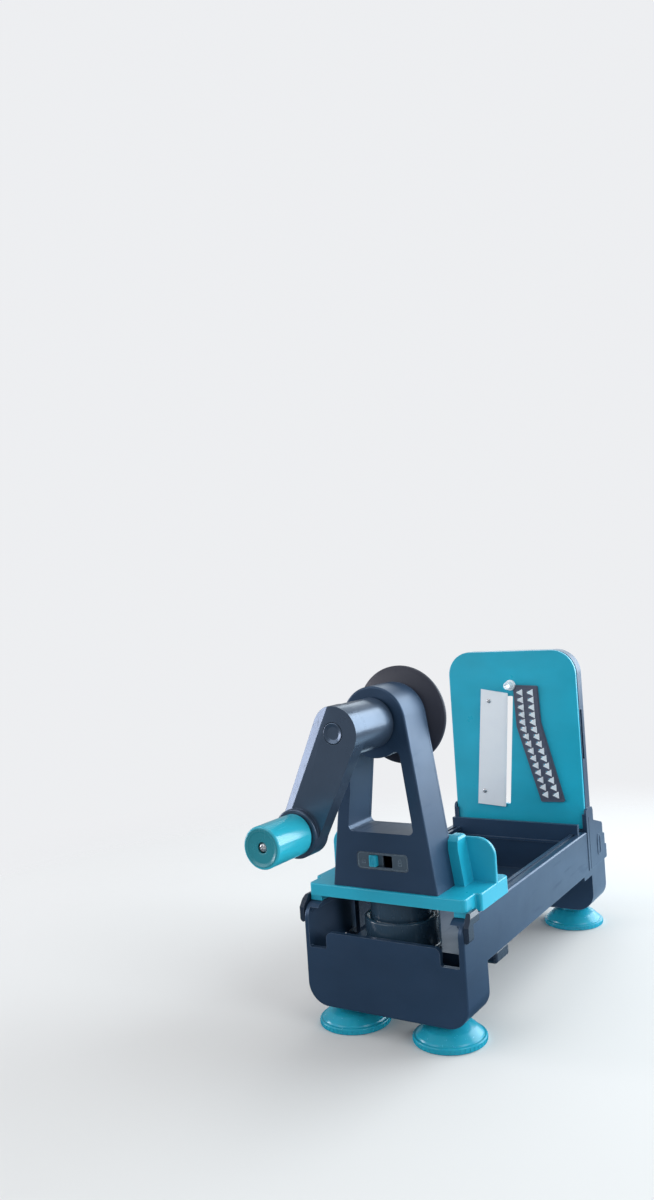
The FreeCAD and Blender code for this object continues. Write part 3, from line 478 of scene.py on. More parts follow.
class Growth(Nodes):
    """A Geometry Nodes tree with named inputs, which grows one piece."""

    KINDS: tuple[tuple[type, str], ...] = (
        (int, "NodeSocketInt"), (float, "NodeSocketFloat"), (Vector, "NodeSocketVector"),
        (bpy.types.Object, "NodeSocketObject"),
    )

    def __init__(self, name: str, slot: str) -> None:
        """Starts an empty tree.

        Args:
            name: The piece's name.
            slot: The record's slot whose finish the piece takes.
        """
        super().__init__(bpy.data.node_groups.new(name + "_tree", "GeometryNodeTree"))
        self.name, self.slot = name, slot
        self.tree.is_modifier = True
        self.values: dict[str, object] = {}
        self.source = self.node("NodeGroupInput")
        self.sink = self.node("NodeGroupOutput")
        self.tree.interface.new_socket("Geometry", in_out="OUTPUT", socket_type="NodeSocketGeometry")

    def want(self, name: str, value: object) -> Link:
        """Adds a named input.

        Args:
            name: The input's name.
            value: The value that it is set to; an object is removed once the piece is grown.

        Returns:
            The socket that gives its value.
        """
        kind = next(kind for sort, kind in self.KINDS if isinstance(value, sort))
        made = self.tree.interface.new_socket(name, in_out="INPUT", socket_type=kind)
        self.values[made.identifier] = value
        return self.source.outputs[name]

    def given(self, name: str, obj: bpy.types.Object) -> Link:
        """Adds a named input for an object, and gives the object's geometry."""
        return self.node("GeometryNodeObjectInfo", Object=self.want(name, obj)).outputs["Geometry"]

    def vector(self, x: object = 0.0, y: object = 0.0, z: object = 0.0) -> Link:
        """A vector from three sockets or numbers."""
        return self.node("ShaderNodeCombineXYZ", X=x, Y=y, Z=z).outputs[0]

    def position(self) -> Link:
        """The place of each point."""
        return self.node("GeometryNodeInputPosition").outputs[0]

    def copies(self, points: Link, shape: Link, **more: object) -> Link:
        """Puts a shape on every point; more are further inputs of the node."""
        return self.node("GeometryNodeInstanceOnPoints", Points=points, Instance=shape, **more).outputs[0]

    def moved(self, geometry: Link, **more: object) -> Link:
        """Moves or turns a geometry as a whole; more are further inputs of the node."""
        return self.node("GeometryNodeTransform", Geometry=geometry, **more).outputs[0]

    def grown(self, last: Link) -> bpy.types.Object:
        """Ends the tree, runs it once and keeps the result as a plain mesh.

        Args:
            last: The socket that gives the finished geometry.

        Returns:
            The piece.
        """
        real = self.node("GeometryNodeRealizeInstances", Geometry=last)
        dressed = self.node("GeometryNodeSetMaterial", Geometry=real.outputs[0],
                            Material=finish_of(self.slot))
        self.feed(self.sink.inputs[0], dressed.outputs[0])
        obj = added(self.name, bpy.data.meshes.new(self.name))
        modifier = obj.modifiers.new("grown", "NODES")
        modifier.node_group = self.tree
        for identifier, value in self.values.items():
            modifier[identifier] = value
        settle(obj).data.name = self.name
        for value in self.values.values():
            if isinstance(value, bpy.types.Object):
                bpy.data.objects.remove(value)
        return obj


class Graph(Nodes):
    """The shader nodes of one material."""

    def __init__(self, name: str, kind: str = "ShaderNodeBsdfPrincipled") -> None:
        """Starts a material with its surface shader.

        Args:
            name: The material's name.
            kind: The surface shader's type name.
        """
        self.material = bpy.data.materials.new(name)
        self.material.use_nodes = True
        super().__init__(self.material.node_tree)
        self.tree.nodes.clear()
        self.output = self.node("ShaderNodeOutputMaterial")
        self.shader = self.node(kind)
        self.feed(self.output.inputs["Surface"], self.shader.outputs[0])

    def set(self, **values: object) -> None:
        """Sets or links inputs of the surface shader, by name with _ for a space."""
        for key, value in values.items():
            self.feed(self.shader.inputs[key.replace("_", " ")], value)

    def place(self) -> Link:
        """The place on the piece, in its own coordinates."""
        return self.node("ShaderNodeTexCoord").outputs["Object"]

    def noise(self, scale: float, detail: float = 2.0, stretch: Sequence[float] = EVEN) -> Link:
        """A noise pattern that stays on the piece.

        Args:
            scale: Pattern cells in one metre.
            detail: How many finer layers it has.
            stretch: How much denser it is along X, Y and Z.

        Returns:
            The noise value's socket.
        """
        mapping = self.node("ShaderNodeMapping", Vector=self.place(), Scale=stretch)
        return self.node("ShaderNodeTexNoise", Vector=mapping.outputs["Vector"], Scale=scale, Detail=detail,
                         Roughness=NOISE_ROUGHNESS).outputs["Fac"]

    def span(self, value: Link, low: float, high: float, start: float = 0.3, end: float = 0.7) -> Link:
        """Spreads a value over a new range.

        Args:
            value: The socket that gives it.
            low: What it becomes at start.
            high: What it becomes at end.
            start: The lowest value that counts.
            end: The highest value that counts.

        Returns:
            The new value's socket.
        """
        return self.node("ShaderNodeMapRange", Value=value, From_Min=start, From_Max=end, To_Min=low,
                         To_Max=high).outputs["Result"]

    def blend(self, share: Link, first: Colour | Link, second: Colour | Link) -> Link:
        """Mixes two colours.

        Args:
            share: How much of the second colour shows.
            first: A colour or a socket.
            second: A colour or a socket.

        Returns:
            The mixed colour's socket.
        """
        mix = self.node("ShaderNodeMix", {"data_type": "RGBA"}, Factor=share)
        for target, given in zip(mix.inputs[6:8], (first, second)):
            self.feed(target, given if isinstance(given, Link) else (*given, 1.0))
        return mix.outputs[2]

    def bump(self, height: Link, strength: float, distance: float) -> None:
        """Raises the surface by a height pattern.

        Args:
            height: The pattern's socket.
            strength: How strongly it shows.
            distance: How high it is, in metres.
        """
        made = self.node("ShaderNodeBump", Strength=strength, Distance=distance, Height=height)
        self.set(Normal=made.outputs["Normal"])

    def edges(self, radius: float) -> Link:
        """How close the surface is to a sharp edge, from 0 on a flat to about 1 on the edge.

        Args:
            radius: How far from the edge it shows, in metres.

        Returns:
            The value's socket.
        """
        bevel = self.node("ShaderNodeBevel", {"samples": 4}, Radius=radius)
        true = self.node("ShaderNodeNewGeometry")
        dot = self.fed("ShaderNodeVectorMath", {"operation": "DOT_PRODUCT"}, bevel.outputs[0],
                       true.outputs["Normal"])
        return self.span(dot.outputs["Value"], 1.0, 0.0, *EDGE_TURN)


# ---------------------------------------------------------------- finishes
def scaled(colour: Colour, factor: float) -> Colour:
    """A lighter or darker version of a colour, each part at most 1."""
    red, green, blue = (min(1.0, part * factor) for part in colour)
    return red, green, blue


@dataclass(frozen=True)
class MouldedPlastic:
    """A moulded plastic skin: fine grain, faint flow marks, edges lightened partly as wear and partly as a
    painted edge highlight, and light scuffs.
    """

    name: str
    colour: Colour
    roughness: float = 0.33
    grain: float = 0.12
    grain_scale: float = 1600.0
    grain_high: float = 0.00006
    flow: float = 0.10
    flow_scale: float = 14.0
    flow_run: Corner = (1.0, 0.35, 1.6)
    # patchy lightening along sharp edges: partly wear, partly a painted highlight along the edges
    wear_and_highlight: float = 0.30
    wear_and_highlight_scale: float = 140.0
    wear_and_highlight_reach: float = 0.0007
    wear_and_highlight_colour: Colour = (0.30, 0.36, 0.44)
    scuffs: float = 0.10
    scuff_scale: float = 420.0
    scuff_run: Corner = (1.0, 0.04, 0.3)
    scuff_span: Point = (0.62, 0.74)
    smudge_scale: float = 38.0
    smudge_span: Point = (-0.03, 0.05)
    coat: float = 0.0
    glow: float = 0.0
    pearl: float = 0.0

    def build(self) -> bpy.types.Material:
        """Makes the material.

        Returns:
            The material.
        """
        g = Graph(self.name)
        g.set(IOR=1.5, Metallic=self.pearl, Coat_Weight=self.coat, Coat_Roughness=0.08,
              Subsurface_Weight=self.glow, Subsurface_Radius=(0.003, 0.004, 0.005))
        flow = g.span(g.noise(self.flow_scale, 3.0, self.flow_run), 0.0, 1.0)
        tone = g.blend(flow, scaled(self.colour, 1 - self.flow), scaled(self.colour, 1 + self.flow))
        # lighter colour along sharp edges, in patches: partly wear, partly a painted edge highlight
        patchy = g.span(g.noise(self.wear_and_highlight_scale, 4.0), 0.2 * self.wear_and_highlight, self.wear_and_highlight)
        wear_and_highlight_mask = g.math("MULTIPLY", g.edges(self.wear_and_highlight_reach), patchy)
        low, high = (self.roughness + change for change in self.smudge_span)
        smudges = g.span(g.noise(self.smudge_scale, 4.0), low, high)
        streaks = g.span(g.noise(self.scuff_scale, 2.0, self.scuff_run), 0.0, self.scuffs, *self.scuff_span)
        g.set(Base_Color=g.blend(wear_and_highlight_mask, tone, self.wear_and_highlight_colour), Roughness=g.math("ADD", smudges, streaks))
        g.bump(g.noise(self.grain_scale), self.grain, self.grain_high)
        return g.material


@dataclass(frozen=True)
class BrightSteel:
    """Bright steel with fine tool marks along one direction."""

    name: str
    colour: Colour = (0.66, 0.67, 0.69)
    roughness: float = 0.24
    marks: Corner = (1.0, 1.0, 12.0)
    depth: float = 0.12
    anisotropy: float = 0.4
    mirror: float = 1.0
    mark_scale: float = 700.0
    mark_high: float = 0.00003
    mark_span: Point = (-0.06, 0.10)
    stain_scale: float = 24.0
    stain_span: Point = (0.95, 1.03)

    def build(self) -> bpy.types.Material:
        """Makes the material.

        Returns:
            The material.
        """
        g = Graph(self.name)
        g.set(Metallic=self.mirror, Anisotropic=self.anisotropy)
        lines = g.noise(self.mark_scale, 3.0, self.marks)
        stains = g.span(g.noise(self.stain_scale, 3.0), 0.0, 1.0)
        low, high = (self.roughness + change for change in self.mark_span)
        g.set(Base_Color=g.blend(stains, *(scaled(self.colour, factor) for factor in self.stain_span)),
              Roughness=g.span(lines, low, high))
        g.bump(lines, self.depth, self.mark_high)
        return g.material


@dataclass(frozen=True)
class TintedRubber:
    """Soft tinted rubber that lets some light through."""

    name: str
    colour: Colour
    roughness: float = 0.22
    clearness: float = 0.25
    cloud_scale: float = 30.0
    cloud_span: Point = (0.92, 1.08)
    dust_scale: float = 320.0
    dust: float = 0.07
    dust_span: Point = (0.45, 0.75)
    skin: float = 0.02
    skin_scale: float = 700.0
    skin_high: float = 0.00006

    def build(self) -> bpy.types.Material:
        """Makes the material.

        Returns:
            The material.
        """
        g = Graph(self.name)
        g.set(IOR=1.45, Transmission_Weight=self.clearness, Subsurface_Weight=0.35,
              Subsurface_Radius=(0.002, 0.006, 0.008))
        cloud = g.span(g.noise(self.cloud_scale), 0.0, 1.0)
        dust = g.noise(self.dust_scale, 3.0)
        g.set(Base_Color=g.blend(cloud, *(scaled(self.colour, factor) for factor in self.cloud_span)),
              Roughness=g.span(dust, self.roughness, self.roughness + self.dust, *self.dust_span))
        g.bump(g.noise(self.skin_scale), self.skin, self.skin_high)
        return g.material


# the colour that turquoise edges are lightened towards: partly wear, partly a painted edge highlight
TURQUOISE_WEAR_AND_HIGHLIGHT = (0.30, 0.72, 0.80)
FINISHES = {
    finish.name: finish
    for finish in (
        # slate and bezel edges are lightened strongly, which paints thin highlight lines along them as well
        # as wear
        MouldedPlastic("slate_plastic", (0.028, 0.062, 0.120), 0.34, wear_and_highlight=0.65, pearl=0.35),
        MouldedPlastic("hook_plastic", (0.014, 0.026, 0.048), 0.26),
        MouldedPlastic("hub_plastic", (0.026, 0.056, 0.090), 0.24, coat=0.3),
        MouldedPlastic("bezel_plastic", (0.066, 0.100, 0.135), 0.32, wear_and_highlight=0.8,
                       wear_and_highlight_colour=(0.42, 0.52, 0.62)),
        MouldedPlastic("disk_plastic", (0.026, 0.028, 0.046), 0.50, grain=0.4, grain_scale=900.0),
        MouldedPlastic("crank_plastic", (0.066, 0.098, 0.150), 0.30, coat=0.2, pearl=0.6),
        MouldedPlastic("turquoise_plastic", (0.014, 0.400, 0.560), 0.30, wear_and_highlight_colour=TURQUOISE_WEAR_AND_HIGHLIGHT,
                       glow=0.04),
        MouldedPlastic("grip_plastic", (0.030, 0.460, 0.600), 0.20, grain=0.03, wear_and_highlight_colour=TURQUOISE_WEAR_AND_HIGHLIGHT,
                       coat=0.4, glow=0.04),
        MouldedPlastic("cap_plastic", (0.016, 0.240, 0.300), 0.24, grain=0.03, wear_and_highlight_colour=TURQUOISE_WEAR_AND_HIGHLIGHT),
        TintedRubber("foot_rubber", (0.026, 0.500, 0.680)),
        BrightSteel("plain_steel", mirror=0.8),
        BrightSteel("blade_steel", (0.90, 0.94, 1.00), 0.34, (18.0, 1.0, 1.0), 0.05, 0.3, 0.15),
        # the strip's steel is given a dark colour as painted shade, a shaded copy of the bright steel
        BrightSteel("strip_steel", (0.11, 0.12, 0.17), 0.36, (1.0, 1.0, 12.0), 0.05, 0.2, 0.3),
    )
}
MADE: dict[str, bpy.types.Material] = {}


def finish_of(slot: str) -> bpy.types.Material:
    """The material of one of the record's slots, built the first time that it is asked for.

    Args:
        slot: The slot's name.

    Returns:
        The material.
    """
    if slot not in MADE:
        MADE[slot] = FINISHES[slot].build()
    return MADE[slot]


def dress(obj: bpy.types.Object, body: str, slot: str, *stands_for: str) -> bpy.types.Object:
    """Gives a finished piece its material, its body and the CAD nodes that it stands for.

    Args:
        obj: The piece.
        body: The CAD body that it moves with.
        slot: The record's slot whose finish it takes.
        stands_for: The CAD nodes that it replaces.

    Returns:
        The piece.
    """
    obj.data.materials.clear()
    obj.data.materials.append(finish_of(slot))
    obj.data.shade_smooth()
    obj.data.set_sharp_from_angle(angle=SHARP_ANGLE)
    modifier = obj.modifiers.new("flat faces stay flat", "WEIGHTED_NORMAL")
    modifier.keep_sharp = True
    modifier.weight = FLAT_WEIGHT
    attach(obj, body)
    if stands_for:
        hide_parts(*stands_for)
    LOG.info("%s rides on %s in %s, %d faces", obj.name, body, slot, len(obj.data.polygons))
    return obj


def refined(node: str, body: str, slot: str, edge: float, segments: int = 2) -> bpy.types.Object:
    """A CAD node's own shape with rounded edges and a finish.

    Args:
        node: The CAD node.
        body: The CAD body that it moves with.
        slot: The record's slot whose finish it takes.
        edge: The width of its edge rounds in millimetres.
        segments: How many steps each round has.

    Returns:
        The piece.
    """
    return dress(soften(tidy_copy(node, node + "_skin"), edge, segments), body, slot, node)


def turned(node: str, body: str, slot: str, profile: Sequence[Corner], count: int,
           centre: Vector | None = None, axis: Axis = Axis.ALONG) -> bpy.types.Object:
    """A turned piece in the place of a CAD node, with its finish.

    Args:
        node: The CAD node.
        body: The CAD body that it moves with.
        slot: The record's slot whose finish it takes.
        profile: Closed outline of (radius, level, rounding) corners in millimetres.
        count: How many steps the turn has.
        centre: A point on the line that it is turned about, or None for the crank's own line.
        axis: Which way that line runs.

    Returns:
        The piece.
    """
    centre = centre or joint_point("crank_turn")
    return dress(lathe(node + "_fine", profile, axis, centre, count), body, slot, node)


# ---------------------------------------------------------------- shapes that repeat
def wire(name: str, spots: Sequence[Vector], lines: Sequence[tuple[int, int]] = ()) -> bpy.types.Object:
    """A bare mesh of points, with or without lines between them.

    Args:
        name: The object's name.
        spots: The points in millimetres.
        lines: The two points of each line, by number.

    Returns:
        The object.
    """
    mesh = bpy.data.meshes.new(name)
    mesh.from_pydata([spot * MM for spot in spots], list(lines), [])
    return added(name, mesh)


class Repeat(Growth):
    """A tree that puts the same small shape at many places."""

    def __init__(self, name: str, shape: bpy.types.Object, slot: str) -> None:
        """Starts the tree.

        Args:
            name: The piece's name.
            shape: The shape about the origin, which is removed once the piece is grown.
            slot: The record's slot whose finish the piece takes.
        """
        super().__init__(name, slot)
        self.shape = self.given("Shape", shape)

    def at(self, spots: Sequence[Vector]) -> bpy.types.Object:
        """The shape at several places.

        Args:
            spots: The places in millimetres.

        Returns:
            The piece.
        """
        cloud = self.given("Places", wire(self.name + "_spots", spots))
        points = self.node("GeometryNodeMeshToPoints", Mesh=cloud)
        return self.grown(self.copies(points.outputs[0], self.shape))

    def along(self, path: Sequence[Vector], count: int) -> bpy.types.Object:
        """The shape at even steps along a bent line.

        Args:
            path: The line's points in millimetres.
            count: How many there are.

        Returns:
            The piece.
        """
        line = wire(self.name + "_path", path, [(i, i + 1) for i in range(len(path) - 1)])
        curve = self.node("GeometryNodeMeshToCurve", Mesh=self.given("Path", line))
        number = self.want("Count", count)
        steps = self.node("GeometryNodeResampleCurve", Curve=curve.outputs[0], Count=number)
        return self.grown(self.copies(steps.outputs[0], self.shape))

    def around(self, centre: Vector, radius: float, count: int) -> bpy.types.Object:
        """The shape round a circle that lies flat, each with its +X side turned outwards.

        Args:
            centre: The circle's middle in millimetres.
            radius: Its radius in millimetres.
            count: How many there are.

        Returns:
            The piece.
        """
        ring = self.node("GeometryNodeMeshCircle", Vertices=self.want("Count", count),
                         Radius=self.want("Radius", radius * MM))
        facing = self.node("FunctionNodeAlignRotationToVector", {"axis": "X"}, Vector=self.position())
        put = self.copies(ring.outputs[0], self.shape, Rotation=facing.outputs[0])
        return self.grown(self.moved(put, Translation=self.want("Middle", centre * MM)))


@dataclass(frozen=True)
class RibField:
    """Stiffening ribs under a flat floor: a row of cross ribs and a few long ones."""

    low: Vector
    high: Vector
    pitch: float
    thick: float
    long_ribs: int = 3

    def grow(self, name: str, slot: str) -> bpy.types.Object:
        """Grows the ribs inside the field's box.

        Args:
            name: The piece's name.
            slot: The slot whose finish it takes.

        Returns:
            The piece.
        """
        size = (self.high - self.low) * MM
        tree = Growth(name, slot)
        width, length, drop = (tree.want(*pair) for pair in zip(("Width", "Length", "Drop"), size))
        pitch, thick = tree.want("Pitch", self.pitch * MM), tree.want("Thickness", self.thick * MM)
        count = tree.math("FLOOR", tree.math("DIVIDE", length, pitch))
        start = tree.math("MULTIPLY", tree.math("MULTIPLY", tree.math("SUBTRACT", count, 1.0), pitch), -0.5)
        quarter = tree.math("MULTIPLY", width, 0.25)
        edge = tree.math("MULTIPLY", quarter, -1.0)
        rows = []
        for side, number, first, step in (
            (tree.vector(width, thick, drop), count, tree.vector(y=start), tree.vector(y=pitch)),
            (tree.vector(thick, length, drop), self.long_ribs, tree.vector(x=edge), tree.vector(x=quarter)),
        ):
            rib = tree.node("GeometryNodeMeshCube", Size=side)
            line = tree.node("GeometryNodeMeshLine", Count=number, Start_Location=first, Offset=step)
            rows.append(tree.copies(line.outputs[0], rib.outputs[0]))
        joined = tree.node("GeometryNodeJoinGeometry")
        for row in rows:
            tree.feed(joined.inputs[0], row)
        middle = tree.want("Middle", (self.low + self.high) / 2 * MM)
        return tree.grown(tree.moved(joined.outputs[0], Translation=middle))


@dataclass(frozen=True)
class StudField:
    """Staggered rows of studs inside a ring, for the disk that holds the food."""

    pitch: float
    inner: float
    outer: float
    rows: int = 11

    def grow(self, name: str, stud: bpy.types.Object, centre: Vector, slot: str) -> bpy.types.Object:
        """Grows the field facing +Y.

        Args:
            name: The piece's name.
            stud: One stud about the origin that points up, which is removed.
            centre: The ring's middle in millimetres.
            slot: The slot whose finish it takes.

        Returns:
            The piece.
        """
        tree = Repeat(name, stud, slot)
        sizes = (("Pitch", self.pitch), ("Inner", self.inner), ("Outer", self.outer))
        pitch, inner, outer = (tree.want(key, size * MM) for key, size in sizes)
        rows = tree.want("Rows", self.rows)
        side = tree.math("MULTIPLY", pitch, tree.math("SUBTRACT", rows, 1.0))
        grid = tree.node("GeometryNodeMeshGrid", Size_X=side, Size_Y=side, Vertices_X=rows, Vertices_Y=rows)
        spot = tree.node("ShaderNodeSeparateXYZ", Vector=tree.position())
        row = tree.math("ROUND", tree.math("DIVIDE", spot.outputs["Y"], pitch))
        odd = tree.math("ABSOLUTE", tree.math("MODULO", row, 2.0))
        shift = tree.math("MULTIPLY", odd, tree.math("MULTIPLY", pitch, 0.5))
        staggered = tree.node("GeometryNodeSetPosition", Geometry=grid.outputs[0], Offset=tree.vector(shift))
        length = tree.node("ShaderNodeVectorMath", {"operation": "LENGTH"}, Vector=tree.position())
        away = length.outputs["Value"]
        outside = tree.math("MAXIMUM", tree.math("GREATER_THAN", away, outer),
                            tree.math("LESS_THAN", away, inner))
        left = tree.node("GeometryNodeDeleteGeometry", Geometry=staggered.outputs[0], Selection=outside)
        put = tree.copies(left.outputs[0], tree.shape)
        middle = tree.want("Middle", centre * MM)
        return tree.grown(tree.moved(put, Translation=middle, Rotation=(-math.pi / 2, 0.0, 0.0)))


# ---------------------------------------------------------------- small hardware
@dataclass(frozen=True)
class CrossScrew:
    """A pan head screw with a cross recess, drawn about the origin with its head towards +Y."""

    head_radius: float
    head_tall: float
    shank_radius: float
    shank_long: float
    recess_wide: float = 0.9
    recess_deep: float = 0.8
    recess_share: float = 0.62

    def shape(self, name: str) -> bpy.types.Object:
        """Builds the screw.

        Args:
            name: The object's name.

        Returns:
            The screw, whose head ends at the origin's level.
        """
        r, s = self.head_radius, self.shank_radius
        under, end = -self.head_tall, -self.head_tall - self.shank_long
        profile = [(0.0, end, 0.0), (s, end, 0.3), (s, under, 0.0), (r, under, 0.15),
                   (r, 0.0, self.head_tall * 0.5), (0.0, 0.0, 0.0)]
        screw = lathe(name, profile, Axis.ALONG, Vector((0, 0, 0)), 32)
        reach, half = r * self.recess_share, self.recess_wide / 2
        arms = [cuboid(name + "_arm", (-a, -self.recess_deep, -b), (a, PAST, b))
                for a, b in ((reach, half), (half, reach))]
        return carve(screw, arms)


@dataclass(frozen=True)
class LockMark:
    """A small raised padlock: a body and a bow, which stands higher on the open one."""

    half: float = 1.5
    tall: float = 2.2
    outer: float = 1.1
    inner: float = 0.7
    bow_foot: float = -0.2
    bow_top: float = 0.5
    sunk: float = 0.1
    proud: float = 0.25
    free_share: float = 0.8

    def shapes(self, x: float, z: float, level: float, lift: float) -> list[bpy.types.Object]:
        """Builds the mark.

        Args:
            x: The middle of the mark across.
            z: Its middle height.
            level: The height of the surface that it stands on, along Y.
            lift: How far the bow is pulled up.

        Returns:
            The body and the bow.
        """
        foot, top = z + self.bow_foot, z + self.bow_top + lift
        free = foot + lift * self.free_share

        def arc(radius: float) -> list[Point]:
            """The round of the bow at one radius, from left to right."""
            angles = [math.pi * k / 8 for k in range(9)]
            return [(x - radius * math.cos(a), top + radius * math.sin(a)) for a in angles]

        body = rounded(oblong((x - self.half, z - self.tall), (x + self.half, z), 0.3), 2)
        bow = [(x - self.outer, free), *arc(self.outer), (x + self.outer, foot), (x + self.inner, foot),
               *reversed(arc(self.inner)), (x - self.inner, free)]
        return [prism(name, outline, Plane.FRONT, level - self.proud, level + self.sunk)
                for name, outline in (("mark_body", body), ("mark_bow", bow))]


# ---------------------------------------------------------------- base
@dataclass(frozen=True)
class SuctionFoot:
    """A tinted rubber cup with a ridged lip, a domed top and a snap stem."""

    lip: float = 4.6
    dome: float = 15.0
    collar_radius: float = 13.0
    neck_radius: float = 6.0
    head_radius: float = 9.0
    hollow: float = 7.0
    ridges: int = 44
    ridge_wide: float = 0.9
    ridge_proud: float = 0.35
    ridge_root: float = 0.4
    ridge_margin: float = 0.9
    stem_gap: float = 0.1

    def build(self, node: str, leg_bottom: float, wall: float) -> None:
        """Builds one foot in a CAD foot's place.

        Args:
            node: The CAD node.
            leg_bottom: The height of the leg's underside.
            wall: The thickness of the leg's floor.
        """
        box = Box.of(node)
        radius, top = box.radius, box.high.z
        head = leg_bottom + wall + self.stem_gap
        lip, dome, neck, knob = self.lip, self.dome, self.neck_radius, self.head_radius
        collar, under = self.collar_radius, leg_bottom - HAIR
        profile = [
            (0.0, self.hollow, 0.0), (10.0, self.hollow - 1.0, 4.0), (20.0, 3.0, 4.0),
            (radius - 4.0, 0.0, 0.3), (radius, 0.0, 0.6), (radius, lip, 1.0), (radius - 2.2, lip, 0.4),
            (radius - 2.8, lip + 1.4, 0.6), (radius - 8.0, lip + 6.4, 6.0), (collar + 2.0, dome - 0.8, 2.0),
            (collar, dome, 0.4), (collar, under, 0.8), (neck, under, 0.0), (neck, head, 0.0),
            (knob, head, 0.4), (knob - 1.0, head + 2.5, 0.6), (neck - 1.0, top, 0.8), (0.0, top, 0.0),
        ]
        dress(lathe(node + "_cup", profile, Axis.UP, box.middle, 128), "base", "foot_rubber", node)
        half, proud, root = self.ridge_wide / 2, self.ridge_proud, -self.ridge_root
        outline = [(root, -half, 0.0), (proud, -half, 0.15), (proud, half, 0.15), (root, half, 0.0)]
        ridge = prism(node + "_ridge", rounded(outline, 2), Plane.TOP, self.ridge_margin,
                      self.lip - self.ridge_margin)
        middle = Vector((box.middle.x, box.middle.y, 0.0))
        ring = Repeat(node + "_ridges", ridge, "foot_rubber")
        dress(ring.around(middle, radius, self.ridges), "base", "foot_rubber")


@dataclass(frozen=True)
class BaseAssembly:
    """The long base with its rails, hooks, ribs and feet."""

    edge: float = 0.7
    hook_edge: float = 0.6
    wall: float = 4.4
    floor_rise: float = 40.3
    rib_drop: float = 4.4
    rib_thick: float = 1.6
    rib_pitch: float = 22.0
    rib_half: float = 47.0
    rib_front: float = 20.0
    rib_rear: float = 44.0
    rib_sunk: float = 0.4
    rib_edge: float = 0.3
    foot: SuctionFoot = SuctionFoot()

    def build(self) -> None:
        """Builds every piece of the base."""
        refined("base_housing", "base", "slate_plastic", self.edge)
        self.ribs()
        for side in ("left", "right"):
            refined("hold_down_hook_" + side, "base", "hook_plastic", self.hook_edge)
        leg_bottom = Box.of("base_housing").low.z
        for place in ("front_left", "front_right", "rear_left", "rear_right"):
            self.foot.build("suction_foot_" + place, leg_bottom, self.wall)

    def ribs(self) -> None:
        """Grows the ribs under the floor between the leg boxes."""
        housing = Box.of("base_housing")
        under = housing.low.z + self.floor_rise
        front = Box.of("suction_foot_front_left").middle.y + self.rib_front
        rear = Box.of("suction_foot_rear_left").middle.y - self.rib_rear
        low = Vector((-self.rib_half, front, under - self.rib_drop))
        high = Vector((self.rib_half, rear, under + self.rib_sunk))
        field = RibField(low, high, self.rib_pitch, self.rib_thick)
        ribs = soften(field.grow("floor_ribs", "slate_plastic"), self.rib_edge, 1)
        dress(ribs, "base", "slate_plastic")


# ---------------------------------------------------------------- blade plate and its frame
@dataclass(frozen=True)
class EndFrame:
    """The arch that carries the blade plate, with its stepped foot."""

    edge: float = 0.8

    def build(self) -> None:
        """Builds the arch."""
        refined("end_frame", "end_frame", "slate_plastic", self.edge, 3)


